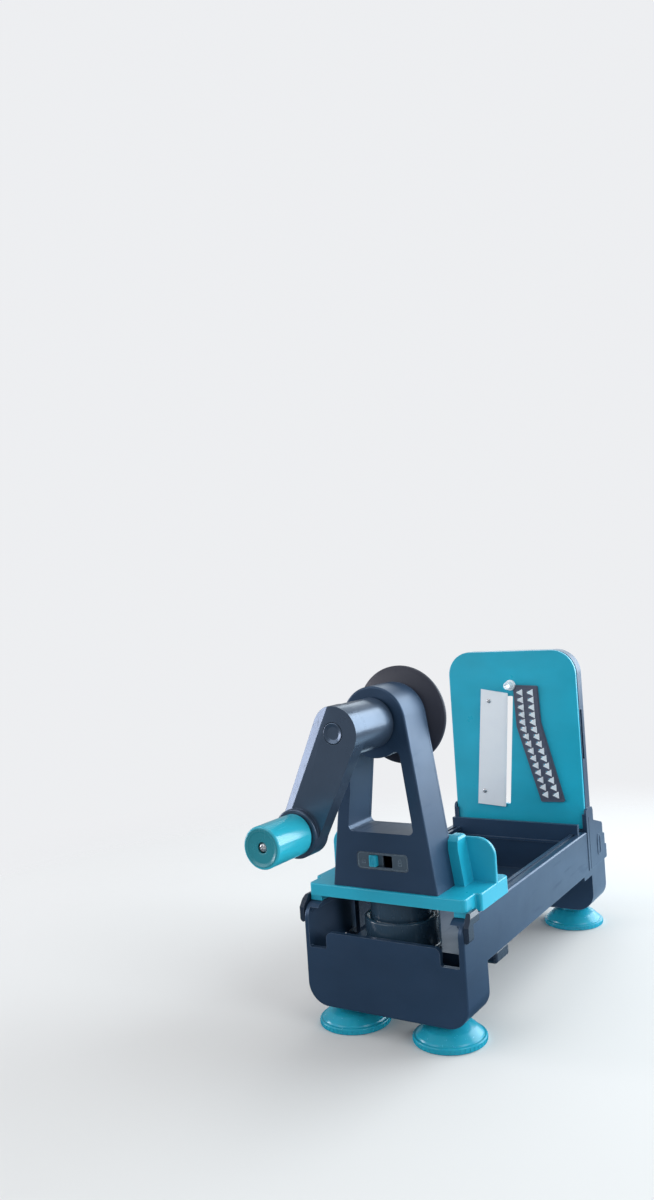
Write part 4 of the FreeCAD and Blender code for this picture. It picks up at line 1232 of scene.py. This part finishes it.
@dataclass(frozen=True)
class BladePlate:
    """The lift-out plate: slicing blade, toothed strip and coring tube."""

    edge: float = 0.7
    blade_edge: float = 0.15
    pad_sunk: float = 0.5
    rivet_radius: float = 2.4
    rivet_shank: float = 1.4
    rivet_proud: float = 1.0
    tooth_long: float = 6.8
    tooth_high: float = 7.0
    tooth_thick: float = 1.0
    tooth_lean: float = 35.0
    tooth_count: int = 15
    tooth_columns: Point = (9.5, 20.5)
    tooth_margin: float = 4.0
    tooth_sunk: float = 0.1
    tooth_tip: Point = (0.08, 0.6)
    hole_back: float = 3.5
    hole_wide: float = 5.0
    hole_tall: float = 3.4
    hole_deep: float = 3.0
    strip_thick: float = 0.6
    strip_plate: Point = (0.88, 0.95)
    strip_edges: Point = (0.4, 0.12)
    tube_wall: float = 0.8
    collar_radius: float = 5.4
    collar_proud: float = 1.6
    collar_gap: float = 0.3
    corner: float = 24.0
    foot_corner: float = 2.0
    slot_beside: float = 4.8
    slot_under: float = 3.0
    slot_inset: float = 3.0
    strip_shares: tuple[Point, ...] = ((0.046, 0.994), (0.426, 0.987), (0.444, 0.733), (0.735, 0.184),
                                       (0.376, 0.177), (0.065, 0.699))
    blade_shares: tuple[Point, ...] = ((-0.469, 0.968), (-0.044, 0.936), (-0.191, 0.128), (-0.635, 0.142))

    def build(self) -> None:
        """Builds every piece of the plate."""
        self.board()
        refined("flat_blade", "blade_plate", "blade_steel", self.blade_edge, 1)
        self.rivets()
        self.strip()
        self.teeth()
        self.tube()

    def corners(self, shares: Sequence[Point]) -> list[Point]:
        """Corners on the plate, from shares of its half width and of the shaft's height.

        Args:
            shares: How far across and up each corner lies.

        Returns:
            The corners in millimetres.
        """
        plate = Box.of("blade_plate")
        rise = joint_point("crank_turn").z - plate.low.z
        return [(plate.high.x * across, plate.low.z + rise * up) for across, up in shares]

    def board(self) -> None:
        """The plate itself: a rounded board and the blade's low pad, with every opening cut."""
        box = Box.of("blade_plate")
        face = Box.of("julienne_base").high.y
        low, high, r, foot_r = box.low, box.high, self.corner, self.foot_corner
        outline = [(low.x, low.z, foot_r), (high.x, low.z, foot_r), (high.x, high.z, r), (low.x, high.z, r)]
        blade = self.corners(self.blade_shares)
        layers = [soften(prism("board", rounded(outline, 10), Plane.FRONT, face, high.y), self.edge, 3),
                  prism("blade_pad", blade, Plane.FRONT, low.y, face + self.pad_sunk)]
        _, top, foot, _ = blade
        inset, sides = self.slot_inset, (-self.slot_under, self.slot_beside)
        slot = [(top[0] + side, top[1] - inset, 1.0) for side in sides]
        slot += [(foot[0] + side, foot[1] + inset, 1.0) for side in reversed(sides)]
        start, end = low.y - PAST, high.y + PAST
        shanks = [prism("shank", circle(self.rivet_shank, 24, (p.x, p.z)), Plane.FRONT, start, end)
                  for p in self.rivet_spots()]
        cutter = merged("board_cutter", [
            prism("slot", rounded(slot, 4), Plane.FRONT, start, end), *self.holes(start, end), *shanks,
            self.tube_hole(Box.of("coring_tube").radius - HAIR, start, end),
        ])
        layers = [carve(layer, [duplicate(cutter)]) for layer in layers]
        bpy.data.objects.remove(cutter)
        dress(merged("board_fine", layers), "blade_plate", "turquoise_plastic", "blade_plate")

    def columns(self) -> list[list[Vector]]:
        """The bent line of each column of teeth.

        Returns:
            Three points for each column, from the top down.
        """
        top, _, _, _, bottom, kink = self.corners(self.strip_shares)
        level = Box.of("julienne_base").low.y - self.strip_thick + self.tooth_sunk
        step = (top[1] - bottom[1] - 2 * self.tooth_margin) / self.tooth_count
        high = top[1] - self.tooth_margin - step / 2
        low = high - step * (self.tooth_count - 1)

        def edge_at(z: float) -> float:
            """The strip's left edge at a height."""
            (u0, v0), (u1, v1) = (top, kink) if z > kink[1] else (kink, bottom)
            return u0 + (u1 - u0) * (v0 - z) / (v0 - v1)

        heights = (high, kink[1], low)
        return [[Vector((edge_at(z) + across, level, z)) for z in heights] for across in self.tooth_columns]

    def rivet_spots(self) -> list[Vector]:
        """The places of the two rivets, one near each end of the blade.

        Returns:
            The two places.
        """
        box, r = Box.of("blade_rivets"), self.rivet_radius
        level = box.low.y + self.rivet_proud
        return [Vector((box.high.x - r, level, box.high.z - r)),
                Vector((box.low.x + r, level, box.low.z + r))]

    def rivets(self) -> None:
        """The two rivets, with low domed heads."""
        box = Box.of("blade_rivets")
        r, shank, proud = self.rivet_radius, self.rivet_shank, self.rivet_proud
        deep = box.size.y - proud
        profile = [(0.0, -proud, 0.0), (r - 0.8, -proud + 0.1, 1.0), (r, -0.3, 0.5),
                   (r, 0.0, 0.0), (shank, 0.0, 0.0), (shank, deep, 0.2), (0.0, deep, 0.0)]
        rivet = lathe("rivet_shape", profile, Axis.ALONG, Vector((0, 0, 0)), 32)
        heads = Repeat("rivet_heads", rivet, "plain_steel")
        dress(heads.at(self.rivet_spots()), "blade_plate", "plain_steel", "blade_rivets")

    def strip(self) -> None:
        """The strip, its steel darkened as painted shade: a rounded bed and a thin plate, with an opening
        beside every tooth.
        """
        box = Box.of("julienne_base")
        face = box.low.y
        corners = [Vector(corner) for corner in self.corners(self.strip_shares)]
        middle = sum(corners, Vector((0, 0))) / len(corners)
        outline = [(c.x, c.y, 1.5) for c in corners]
        share = Vector(self.strip_plate)
        inner = [(*(middle + (c - middle) * share), 1.0) for c in corners]
        start, end = face - PAST, face + self.hole_deep
        tube = self.tube_hole(self.collar_radius + self.collar_gap, start, end)
        cutter = merged("strip_cutter", [*self.holes(start, end), tube])
        layers = [prism("strip_bed", rounded(outline, 4), Plane.FRONT, face, box.high.y),
                  prism("strip_plate", rounded(inner, 3), Plane.FRONT, face - self.strip_thick,
                        face - SLIVER)]
        layers = [soften(carve(layer, [duplicate(cutter)]), edge, 2)
                  for layer, edge in zip(layers, self.strip_edges)]
        bpy.data.objects.remove(cutter)
        dress(merged("toothed_strip", layers), "blade_plate", "strip_steel", "julienne_base")

    def tube_hole(self, radius: float, low: float, high: float) -> bpy.types.Object:
        """The tool that cuts the coring tube's hole.

        Args:
            radius: The hole's radius.
            low: Where the tool starts along Y.
            high: Where it ends.

        Returns:
            The tool.
        """
        tube = Box.of("coring_tube").middle
        return prism("tube_hole", circle(radius, 40, (tube.x, tube.z)), Plane.FRONT, low, high)

    def holes(self, low: float, high: float) -> list[bpy.types.Object]:
        """The tools that cut an opening beside every tooth.

        Args:
            low: Where they start along Y.
            high: Where they end.

        Returns:
            A box for each opening.
        """
        wide, tall = self.hole_wide / 2, self.hole_tall / 2
        boxes = []
        for path in self.columns():
            for k in range(self.tooth_count):
                z = path[0].z + (path[-1].z - path[0].z) * k / (self.tooth_count - 1)
                start, end = (path[0], path[1]) if z > path[1].z else (path[1], path[2])
                x = start.x + (end.x - start.x) * (start.z - z) / (start.z - end.z) - self.hole_back
                boxes.append(cuboid("hole", (x - wide, low, z - tall), (x + wide, high, z + tall)))
        return boxes

    def teeth(self) -> None:
        """Two rows of ground triangular teeth along the bent columns."""
        half, thick = self.tooth_long / 2, self.tooth_thick / 2
        sharp, skew = self.tooth_tip
        lean = Matrix.Rotation(-math.radians(self.tooth_lean), 3, "Z")
        corners = [(-thick, 0, -half), (thick, 0, -half), (thick, 0, half), (-thick, 0, half),
                   (-sharp, -self.tooth_high, skew), (sharp, -self.tooth_high, skew)]
        faces = ((0, 1, 2, 3), (0, 4, 5, 1), (2, 5, 4, 3), (1, 5, 2), (3, 4, 0))
        rows = []
        for number, path in enumerate(self.columns()):
            tooth = facets("tooth_shape", [lean @ Vector(corner) for corner in corners], faces)
            row = Repeat(f"tooth_row_{number}", tooth, "blade_steel")
            rows.append(row.along(path, self.tooth_count))
        dress(merged("teeth", rows), "blade_plate", "blade_steel", "julienne_teeth")

    def tube(self) -> None:
        """The coring tube with its sharpened mouth and a low collar on the plate."""
        box = Box.of("coring_tube")
        face = Box.of("julienne_base").high.y
        r = box.radius
        inner = r - self.tube_wall
        collar, proud, under = self.collar_radius, face - self.collar_proud, face - SLIVER
        profile = [(inner, box.low.y, 0.0), (r - 0.2, box.low.y + 1.0, 0.2), (r, box.low.y + 3.0, 0.5),
                   (r, proud, 0.2), (collar, proud, 0.4), (collar, under, 0.0), (r, under, 0.0),
                   (r, box.high.y, 0.0), (inner, box.high.y, 0.0)]
        turned("coring_tube", "blade_plate", "blade_steel", profile, 64, box.middle)


# ---------------------------------------------------------------- carriage
@dataclass(frozen=True)
class Carriage:
    """The sliding tray with its clamp and the tower that it carries."""

    tray_edge: float = 0.7
    shoe_edge: float = 0.6
    tower_edge: float = 0.9
    cover_edge: float = 0.7
    bezel_edge: float = 0.25
    bezel_rim: float = 0.9
    bezel_field: float = 0.4
    bezel_corner: float = 2.4
    knob_gap: float = 1.0
    mark: LockMark = LockMark()
    clamp_rim: float = 25.2
    clamp_shelf: float = 5.4
    clamp_dish: float = 3.0
    clamp_shell: float = 3.0
    clamp_recess: float = 8.0
    clamp_web: float = 7.0
    clamp_post: float = 10.0
    screw: CrossScrew = CrossScrew(2.9, 1.2, 1.4, 4.0)
    screw_sunk: float = 0.35
    screw_margin: float = 3.0
    screw_reach: float = 21.0
    bush_radius: float = 10.0
    bush_proud: float = 1.8
    bush_gap: float = 0.06
    bolt_radius: float = 5.0
    bolt_gap: float = 0.2
    bolt_head: float = 8.5
    bolt_head_tall: float = 5.0
    socket_radius: float = 4.2
    socket_deep: float = 3.2
    nut_radius: float = 6.4
    nut_tall: float = 5.0
    nut_edge: float = 0.5
    thread_proud: float = 1.0

    def build(self) -> None:
        """Builds every piece of the carriage."""
        refined("carriage_tray", "carriage", "turquoise_plastic", self.tray_edge, 3)
        for side in ("left", "right"):
            refined("guide_shoe_" + side, "carriage", "hook_plastic", self.shoe_edge)
        self.clamp()
        self.bolt()
        refined("tower_shell", "carriage", "slate_plastic", self.tower_edge, 3)
        refined("tower_cover", "carriage", "slate_plastic", self.cover_edge)
        self.screws()
        for node, way in (("front_bushing", -1), ("rear_bushing", 1)):
            self.bushing(node, way)
        self.bezel()

    def clamp(self) -> None:
        """The round clamp hub: a cup with a rounded rim and a collar that rises to the tray."""
        box = Box.of("clamp_hub")
        r, low, seat = box.radius, box.low.z, box.high.z
        high = low + self.clamp_rim
        bore, post, shell = self.bolt_radius + self.bolt_gap, self.clamp_post, self.clamp_shell
        under = seat - HAIR
        inside = r - self.clamp_shelf
        recess, web = low + self.clamp_recess, high - self.clamp_web
        profile = [
            (bore, recess, 0.3), (post, recess, 0.5), (post, seat - shell, 0.0),
            (inside - shell, seat - shell, 1.0), (inside - shell, web, 1.0),
            (r - shell, web, 1.0), (r - shell, low, 0.4), (r, low, 0.8), (r, low + 3.0, 0.3),
            (r - 0.5, low + 3.5, 0.2), (r - 0.5, low + 4.5, 0.2), (r, low + 5.0, 0.3),
            (r, high - 0.9, 0.9), (r - 1.1, high, 0.7), (r - 2.2, high, 0.3),
            (inside, high - self.clamp_dish, 1.0), (inside + 0.5, under, 0.2), (bore, under, 0.0),
        ]
        turned("clamp_hub", "carriage", "hub_plastic", profile, 128, box.middle, Axis.UP)

    def bolt(self) -> None:
        """The clamp bolt: a socket head below, a hexagon nut above."""
        box = Box.of("clamp_bolt")
        low, high, spot = box.low.z, box.high.z, (box.middle.x, box.middle.y)
        r, head = self.bolt_radius, self.bolt_head
        seat, top = low + self.bolt_head_tall, high - self.thread_proud
        profile = [(0.0, low, 0.0), (head, low, 0.9), (head, seat, 0.2), (r, seat, 0.0), (r, high, 0.8),
                   (0.0, high, 0.0)]
        socket = prism("socket", circle(self.socket_radius, 6, spot), Plane.TOP, low - PAST,
                       low + self.socket_deep)
        shaft = carve(lathe("clamp_bolt_shaft", profile, Axis.UP, box.middle, 64), [socket])
        nut = prism("nut", circle(self.nut_radius, 6, spot), Plane.TOP, top - self.nut_tall, top)
        whole = merged("clamp_bolt_fine", [shaft, soften(nut, self.nut_edge, 2)])
        dress(whole, "carriage", "plain_steel", "clamp_bolt")

    def bezel(self) -> None:
        """The lock's bezel: a raised rim round a lower field, with an open and a shut mark."""
        skin = tidy_copy("lock_bezel", "lock_bezel_skin")
        box, knob, rim = Box.of("lock_bezel"), Box.of("lock_knob"), self.bezel_rim
        left, right = box.low.x + rim, box.high.x - rim
        level = box.low.y + self.bezel_field
        field = oblong((left, box.low.z + rim), (right, box.high.z - rim), self.bezel_corner)
        pocket = prism("bezel_field", rounded(field, 5), Plane.FRONT, box.low.y - PAST, level)
        skin = soften(carve(skin, [pocket]), self.bezel_edge, 2)
        shut = (left + knob.low.x - self.knob_gap) / 2
        opened = (right + knob.high.x + slide_reach("lock_slide") + self.knob_gap) / 2
        marks = [mark for x, lift in ((shut, 0.0), (opened, 1.0))
                 for mark in self.mark.shapes(x, box.middle.z, level, lift)]
        dress(merged("lock_bezel_fine", [skin, *marks]), "carriage", "bezel_plastic", "lock_bezel")

    def screws(self) -> None:
        """The four screws that hold the tower's cover."""
        box = Box.of("tower_screws")
        level = Box.of("tower_cover").high.y - self.screw_sunk
        low = (box.high.x - self.screw_margin, box.low.z + self.screw_margin)
        high = (self.screw_reach, joint_point("crank_turn").z)
        spots = [Vector((side * x, level, z)) for side in (-1, 1) for x, z in (low, high)]
        screws = Repeat("cover_screws", self.screw.shape("screw_shape"), "plain_steel")
        dress(screws.at(spots), "carriage", "plain_steel", "tower_screws")

    def bushing(self, node: str, way: int) -> None:
        """A flanged bearing bush with a rounded flange.

        Args:
            node: The CAD node.
            way: The side that its flange lies on, 1 or -1 along Y.
        """
        box = Box.of(node)
        flange, r = box.radius, self.bush_radius
        outer, inner = (box.high.y, box.low.y) if way > 0 else (box.low.y, box.high.y)
        seat = outer - way * self.bush_proud
        bore = Box.of("crank_shaft").radius + self.bush_gap
        profile = [(bore, outer, 0.3), (flange - 2.6, outer, 0.3), (flange, outer - way * 0.6, 0.6),
                   (flange, seat, 0.0), (r, seat, 0.0), (r, inner, 0.4), (bore, inner, 0.3)]
        turned(node, "carriage", "hub_plastic", profile, 96)


@dataclass(frozen=True)
class Lock:
    """The slide that locks the tower, with finger ridges, and its hidden plate."""

    corner: float = 0.8
    edge: float = 0.35
    plate_edge: float = 0.3
    ridge_count: int = 4
    ridge_proud: float = 0.5
    ridge_margin: float = 0.6
    ridge_sunk: float = 0.2
    ridge_short: float = 0.8
    ridge_shares: Point = (0.42, 0.2)

    def build(self) -> None:
        """Builds the knob and the plate."""
        box = Box.of("lock_knob")
        low, high = box.low, box.high
        face = low.y + self.ridge_proud
        root = face + self.ridge_sunk
        outline = rounded(oblong((low.x, low.z), (high.x, high.z), self.corner), 4)
        pieces = [soften(prism("knob_body", outline, Plane.FRONT, face, high.y), self.edge, 2)]
        step = (box.size.x - 2 * self.ridge_margin) / self.ridge_count
        foot, crest = (step * share for share in self.ridge_shares)
        for k in range(self.ridge_count):
            x = low.x + self.ridge_margin + step * (k + 0.5)
            outline = rounded([(x - foot, root, 0.0), (x + foot, root, 0.0),
                               (x + crest, low.y, 0.25), (x - crest, low.y, 0.25)], 3)
            pieces.append(prism("knob_ridge", outline, Plane.TOP, low.z + self.ridge_short,
                                high.z - self.ridge_short))
        dress(merged("lock_knob_fine", pieces), "lock", "turquoise_plastic", "lock_knob")
        refined("lock_plate", "lock", "bezel_plastic", self.plate_edge)


# ---------------------------------------------------------------- crank
@dataclass(frozen=True)
class Crank:
    """The crank: arm, hub, shaft and the disk that holds the food."""

    arm_edge: float = 0.9
    steel_edge: float = 0.4
    washer_edge: float = 0.25
    screw_shank: float = 1.95
    hub_rim: float = 0.9
    disk_back: float = 22.0
    disk_rim: float = 3.0
    plate_inset: float = 1.5
    plate_thick: float = 1.0
    stud_side: float = 3.4
    stud_high: float = 6.0
    stud_short: float = 0.45
    stud_taper: float = 0.9
    stud_crest: float = 0.7
    stud_sunk: float = 0.2
    pin_radius: float = 4.5
    pin_gap: float = 0.1
    field: StudField = StudField(9.0, 7.9, 35.95)

    def build(self) -> None:
        """Builds every piece of the crank."""
        refined("crank_arm", "crank", "crank_plastic", self.arm_edge, 3)
        self.hub()
        refined("crank_shaft", "crank", "plain_steel", self.steel_edge)
        self.cap()
        refined("grip_spindle", "crank", "plain_steel", self.steel_edge)
        refined("grip_washer", "crank", "plain_steel", self.washer_edge)
        self.grip_screw()
        self.disk()
        self.studs()
        self.pin()

    def hub(self) -> None:
        """The round hub behind the arm."""
        box = Box.of("crank_hub")
        r, bore = box.radius, Box.of("crank_shaft").radius
        front, back = box.low.y, box.high.y
        profile = [(bore, front, 0.0), (r, front, 0.1), (r, back, self.hub_rim), (bore, back, 0.0)]
        turned("crank_hub", "crank", "crank_plastic", profile, 128)

    def cap(self) -> None:
        """The dished cap over the shaft's end."""
        box = Box.of("shaft_cap")
        r, front, back = box.radius, box.low.y, box.high.y
        profile = [(0.0, front + 1.75, 0.0), (r - 3.2, front + 1.65, 1.2), (r - 0.7, front + 0.6, 0.4),
                   (r - 0.2, front + 0.8, 0.2), (r, back, 0.0), (0.0, back, 0.0)]
        turned("shaft_cap", "crank", "crank_plastic", profile, 96)

    def grip_screw(self) -> None:
        """The small screw that holds the grip on its spindle."""
        box = Box.of("grip_screw")
        head = Box.of("grip_washer").low.y - box.low.y
        screw = CrossScrew(box.radius, head, self.screw_shank, box.size.y - head, recess_wide=1.0,
                           recess_deep=1.0)
        shape = screw.shape("grip_screw_fine")
        shape.data.transform(Matrix.Rotation(math.pi, 4, "Z"))
        shape.data.transform(Matrix.Translation(Vector((box.middle.x, box.low.y, box.middle.z)) * MM))
        dress(shape, "crank", "plain_steel", "grip_screw")

    def disk(self) -> None:
        """The dished disk with a rolled rim and a stepped back."""
        box, shaft = Box.of("holder_disk"), Box.of("crank_shaft")
        r, back, face = box.radius, box.low.y, box.high.y
        bore, depth = shaft.radius, shaft.high.y
        rim, hub = face - self.disk_rim, self.disk_back
        profile = [(bore, back, 0.0), (hub, back, 0.8), (hub + 1.2, back + 1.4, 0.6),
                   (r - 3.0, rim - 1.2, 1.0), (r - 0.6, rim - 0.2, 0.6), (r, rim + 0.8, 0.5),
                   (r, face - 0.2, 0.9), (r - 1.3, face, 0.3), (0.0, face, 0.0), (0.0, depth, 0.0),
                   (bore, depth, 0.0)]
        turned("holder_disk", "crank", "disk_plastic", profile, 160)

    def studs(self) -> None:
        """The thin plate with its staggered rows of sharpened studs."""
        disk, axis = Box.of("holder_disk"), joint_point("crank_turn")
        face = disk.high.y
        root = face + self.plate_thick
        h, tall = self.stud_side / 2, self.stud_high
        short, near = tall * self.stud_short, h * self.stud_taper
        corners = [*((x, y, -self.stud_sunk) for x, y, _ in oblong((-h, -h), (h, h))),
                   (-h, -near, tall), (near, -near, short), (near, near, short), (-h, near, tall),
                   (-h + self.stud_crest, -near, tall), (-h + self.stud_crest, near, tall)]
        faces = ((0, 1, 2, 3), (0, 1, 5, 8, 4), (2, 3, 7, 9, 6), (1, 2, 6, 5), (3, 0, 4, 7), (4, 8, 9, 7),
                 (5, 6, 9, 8))
        stud = facets("stud_shape", corners, faces)
        studs = self.field.grow("stud_rows", stud, Vector((axis.x, root, axis.z)), "disk_plastic")
        r, hole = disk.radius - self.plate_inset, self.pin_radius + self.pin_gap
        profile = [(hole, face, 0.0), (r, face, 0.2), (r, root, 0.4), (hole, root, 0.2)]
        plate = lathe("stud_plate", profile, Axis.ALONG, axis, 128)
        dress(merged("stud_plate_whole", [plate, studs]), "crank", "disk_plastic", "holder_studs")

    def pin(self) -> None:
        """The pointed pin in the middle of the disk."""
        box = Box.of("centre_pin")
        r, foot, tip = box.radius, box.low.y, box.high.y
        profile = [(0.0, foot, 0.0), (r, foot, 0.0), (r, foot + 1.2, 0.3), (r - 0.5, foot + 1.8, 0.3),
                   (r - 0.5, tip - 5.0, 0.6), (r - 1.4, tip - 1.2, 0.5), (0.8, tip, 0.4), (0.0, tip, 0.0)]
        turned("centre_pin", "crank", "disk_plastic", profile, 64)


@dataclass(frozen=True)
class Grip:
    """The free-turning grip: a smooth sleeve and its dished end cap."""

    rim: float = 1.5
    lip_sunk: float = 0.5
    bore: float = 5.02
    counterbore: float = 8.0
    shell: float = 3.0
    cap_deep: float = 3.0
    cap_gap: float = 0.1
    screw_gap: float = 0.2
    spindle_gap: float = 1.0

    def build(self) -> None:
        """Builds the sleeve and the cap."""
        axis = joint_point("grip_spin")
        box, cap_box = Box.of("grip_sleeve"), Box.of("grip_end_cap")
        r, end, start = box.radius, box.low.y, box.high.y
        bore, wide, rim = self.bore, self.counterbore, self.rim
        inner = r - self.shell
        step = Box.of("grip_spindle").low.y + self.spindle_gap
        seat, lip = end + self.cap_deep, end + self.lip_sunk
        sleeve = [(bore, start, 0.2), (r - 1.6, start, 0.3), (r - 1.2, start - 0.8, 0.2),
                  (r, start - 0.9, 0.35), (r, lip, rim), (r - rim, lip, 0.0), (inner, lip, 0.3),
                  (inner, seat, 0.0), (wide, seat, 0.0), (wide, step, 0.0), (bore, step, 0.0)]
        turned("grip_sleeve", "grip", "grip_plastic", sleeve, 128, axis)
        hole = Box.of("grip_screw").radius + self.screw_gap
        outer, back, under = cap_box.radius, cap_box.high.y, lip - HAIR
        flange = r - rim - self.cap_gap
        cap = [(hole, end + 1.6, 0.2), (hole + 1.2, end + 1.3, 0.6), (flange - 3.0, end + 0.9, 2.0),
               (flange - 0.7, end, 0.4), (flange, end + 0.1, 0.1), (flange, under, 0.0),
               (outer, under, 0.0), (outer, back, 0.0), (hole, back, 0.0)]
        dress(lathe("grip_cap_fine", cap, Axis.ALONG, axis, 96), "grip", "cap_plastic", "grip_end_cap")


# ---------------------------------------------------------------- studio
@dataclass(frozen=True)
class Lamp:
    """A soft rectangular lamp that points at the object."""

    name: str
    spot: Corner
    wide: float
    tall: float
    radiance: float
    colour: Colour = WHITE
    aim: Corner = (0.0, 0.0, 0.14)

    def build(self) -> None:
        """Puts the lamp in the scene."""
        data = bpy.data.lights.new(self.name, "AREA")
        data.shape = "RECTANGLE"
        data.size, data.size_y = self.wide, self.tall
        data.energy = math.pi * self.wide * self.tall * self.radiance
        data.color = self.colour
        obj = added(self.name, data)
        obj.location = self.spot
        obj.rotation_euler = (Vector(self.aim) - Vector(self.spot)).to_track_quat("-Z", "Y").to_euler()
        obj.visible_camera = False


@dataclass(frozen=True)
class Studio:
    """The floor, the lamps, the surround and the camera."""

    camera_spot: Corner = (0.3861, -0.7798, 0.3389)
    camera_aim: Corner = (-0.1357, 0.0444, 0.3411)
    camera_roll: float = -3.77
    camera_near: float = 0.02
    lens: float = 29.7
    floor_colour: Colour = (0.79, 0.77, 0.75)
    # colours that the floor shows only in reflections, a painted reflection dark in front and pale blue
    # behind, and where along Y it turns
    floor_painted_reflection: tuple[Colour, Colour] = ((0.10, 0.14, 0.18), (0.62, 0.78, 0.88))
    floor_painted_reflection_turn: Point = (-0.05, 0.22)
    floor_fade: Point = (0.34, 0.95)
    floor_sunk: float = 0.0002
    cloth_scale: float = 900.0
    cloth_span: Point = (0.985, 1.0)
    cloth_dark: float = 0.9
    backdrop: Colour = (0.85, 0.86, 0.88)
    daylight: Colour = (0.90, 0.95, 1.0)
    daylight_strength: float = 0.36
    lamps: tuple[Lamp, ...] = (
        Lamp("window", (1.10, 1.20, 0.72), 1.8, 1.4, 5.2, (0.82, 0.93, 1.0)),
        Lamp("back_panel", (-0.15, 1.60, 0.62), 1.3, 1.1, 2.0, (0.84, 0.94, 1.0)),
        Lamp("overhead", (-0.1, 0.1, 1.6), 1.1, 1.1, 1.5),
        Lamp("left_strip", (-1.45, -0.52, 0.36), 0.5, 0.7, 7.0, (0.96, 0.94, 1.0)),
        Lamp("front_fill", (-0.9, -1.5, 1.0), 1.3, 1.0, 2.0, (0.97, 0.98, 1.0)),
        Lamp("right_fill", (1.5, -0.5, 0.75), 0.9, 0.9, 3.2, (0.85, 0.95, 1.0)),
    )

    def build(self) -> None:
        """Builds everything that isn't the object."""
        self.floor()
        self.surround()
        for lamp in self.lamps:
            lamp.build()
        self.camera()
        bpy.context.scene.view_settings.view_transform = "Standard"

    def floor(self) -> None:
        """A pale floor that fades into the backdrop; in reflections it shows a painted reflection, dark in
        front and pale blue behind.
        """
        bm = bmesh.new()
        bmesh.ops.create_circle(bm, cap_ends=True, segments=96, radius=self.floor_fade[1])
        obj = from_bmesh("floor", bm)
        obj.data.transform(Matrix.Translation((0, 0, -self.floor_sunk)))
        g = Graph("floor", "ShaderNodeBsdfDiffuse")
        cloth = g.span(g.noise(self.cloth_scale), *self.cloth_span)
        tone = g.blend(cloth, scaled(self.floor_colour, self.cloth_dark), self.floor_colour)
        split = g.node("ShaderNodeSeparateXYZ", Vector=g.place())
        # painted reflection: reflections on the object see this dark-to-pale colour instead of the floor's
        # own
        painted_reflection = g.blend(g.span(split.outputs["Y"], 0.0, 1.0, *self.floor_painted_reflection_turn), *self.floor_painted_reflection)
        glossy = g.node("ShaderNodeLightPath").outputs["Is Glossy Ray"]
        g.set(Color=g.blend(glossy, tone, painted_reflection))
        away = g.fed("ShaderNodeVectorMath", {"operation": "LENGTH"}, g.place()).outputs["Value"]
        fade = g.span(away, 0.0, 1.0, *self.floor_fade)
        fade.node.interpolation_type = "SMOOTHSTEP"
        clear = g.node("ShaderNodeBsdfTransparent")
        mix = g.fed("ShaderNodeMixShader", {}, fade, g.shader.outputs[0], clear.outputs[0])
        g.feed(g.output.inputs["Surface"], mix.outputs[0])
        obj.data.materials.append(g.material)

    def surround(self) -> None:
        """A plain pale surround: the backdrop to the camera, soft daylight to the object."""
        world = bpy.data.worlds.new("surround")
        bpy.context.scene.world = world
        world.use_nodes = True
        n = Nodes(world.node_tree)
        n.tree.nodes.clear()
        looks = ((self.daylight, self.daylight_strength), (self.backdrop, 1.0))
        glows = [n.node("ShaderNodeBackground", Color=(*colour, 1.0), Strength=strength).outputs[0]
                 for colour, strength in looks]
        seen = n.node("ShaderNodeLightPath").outputs["Is Camera Ray"]
        mix = n.fed("ShaderNodeMixShader", {}, seen, *glows)
        n.feed(n.node("ShaderNodeOutputWorld").inputs["Surface"], mix.outputs[0])

    def camera(self) -> None:
        """The camera, set level and then turned a little about its own line of sight."""
        data = bpy.data.cameras.new("camera")
        data.lens = self.lens
        data.clip_start = self.camera_near
        obj = added("camera", data)
        spot, aim = Vector(self.camera_spot), Vector(self.camera_aim)
        away = (aim - spot).normalized()
        level = away.cross(Vector((0, 0, 1))).normalized()
        rise = level.cross(away)
        roll = Matrix.Rotation(math.radians(self.camera_roll), 3, -away)
        turn = Matrix((roll @ level, roll @ rise, -away)).transposed().to_4x4()
        obj.matrix_world = Matrix.Translation(spot) @ turn
        bpy.context.scene.camera = obj


def main() -> None:
    """Builds every sub-assembly in order and reports each piece."""
    logging.basicConfig(level=logging.INFO, format="%(message)s")
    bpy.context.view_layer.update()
    Studio().build()
    for part in (BaseAssembly(), EndFrame(), BladePlate(), Carriage(), Lock(), Crank(), Grip()):
        LOG.info("building %s", type(part).__name__)
        part.build()


if __name__ == "__main__":
    main()
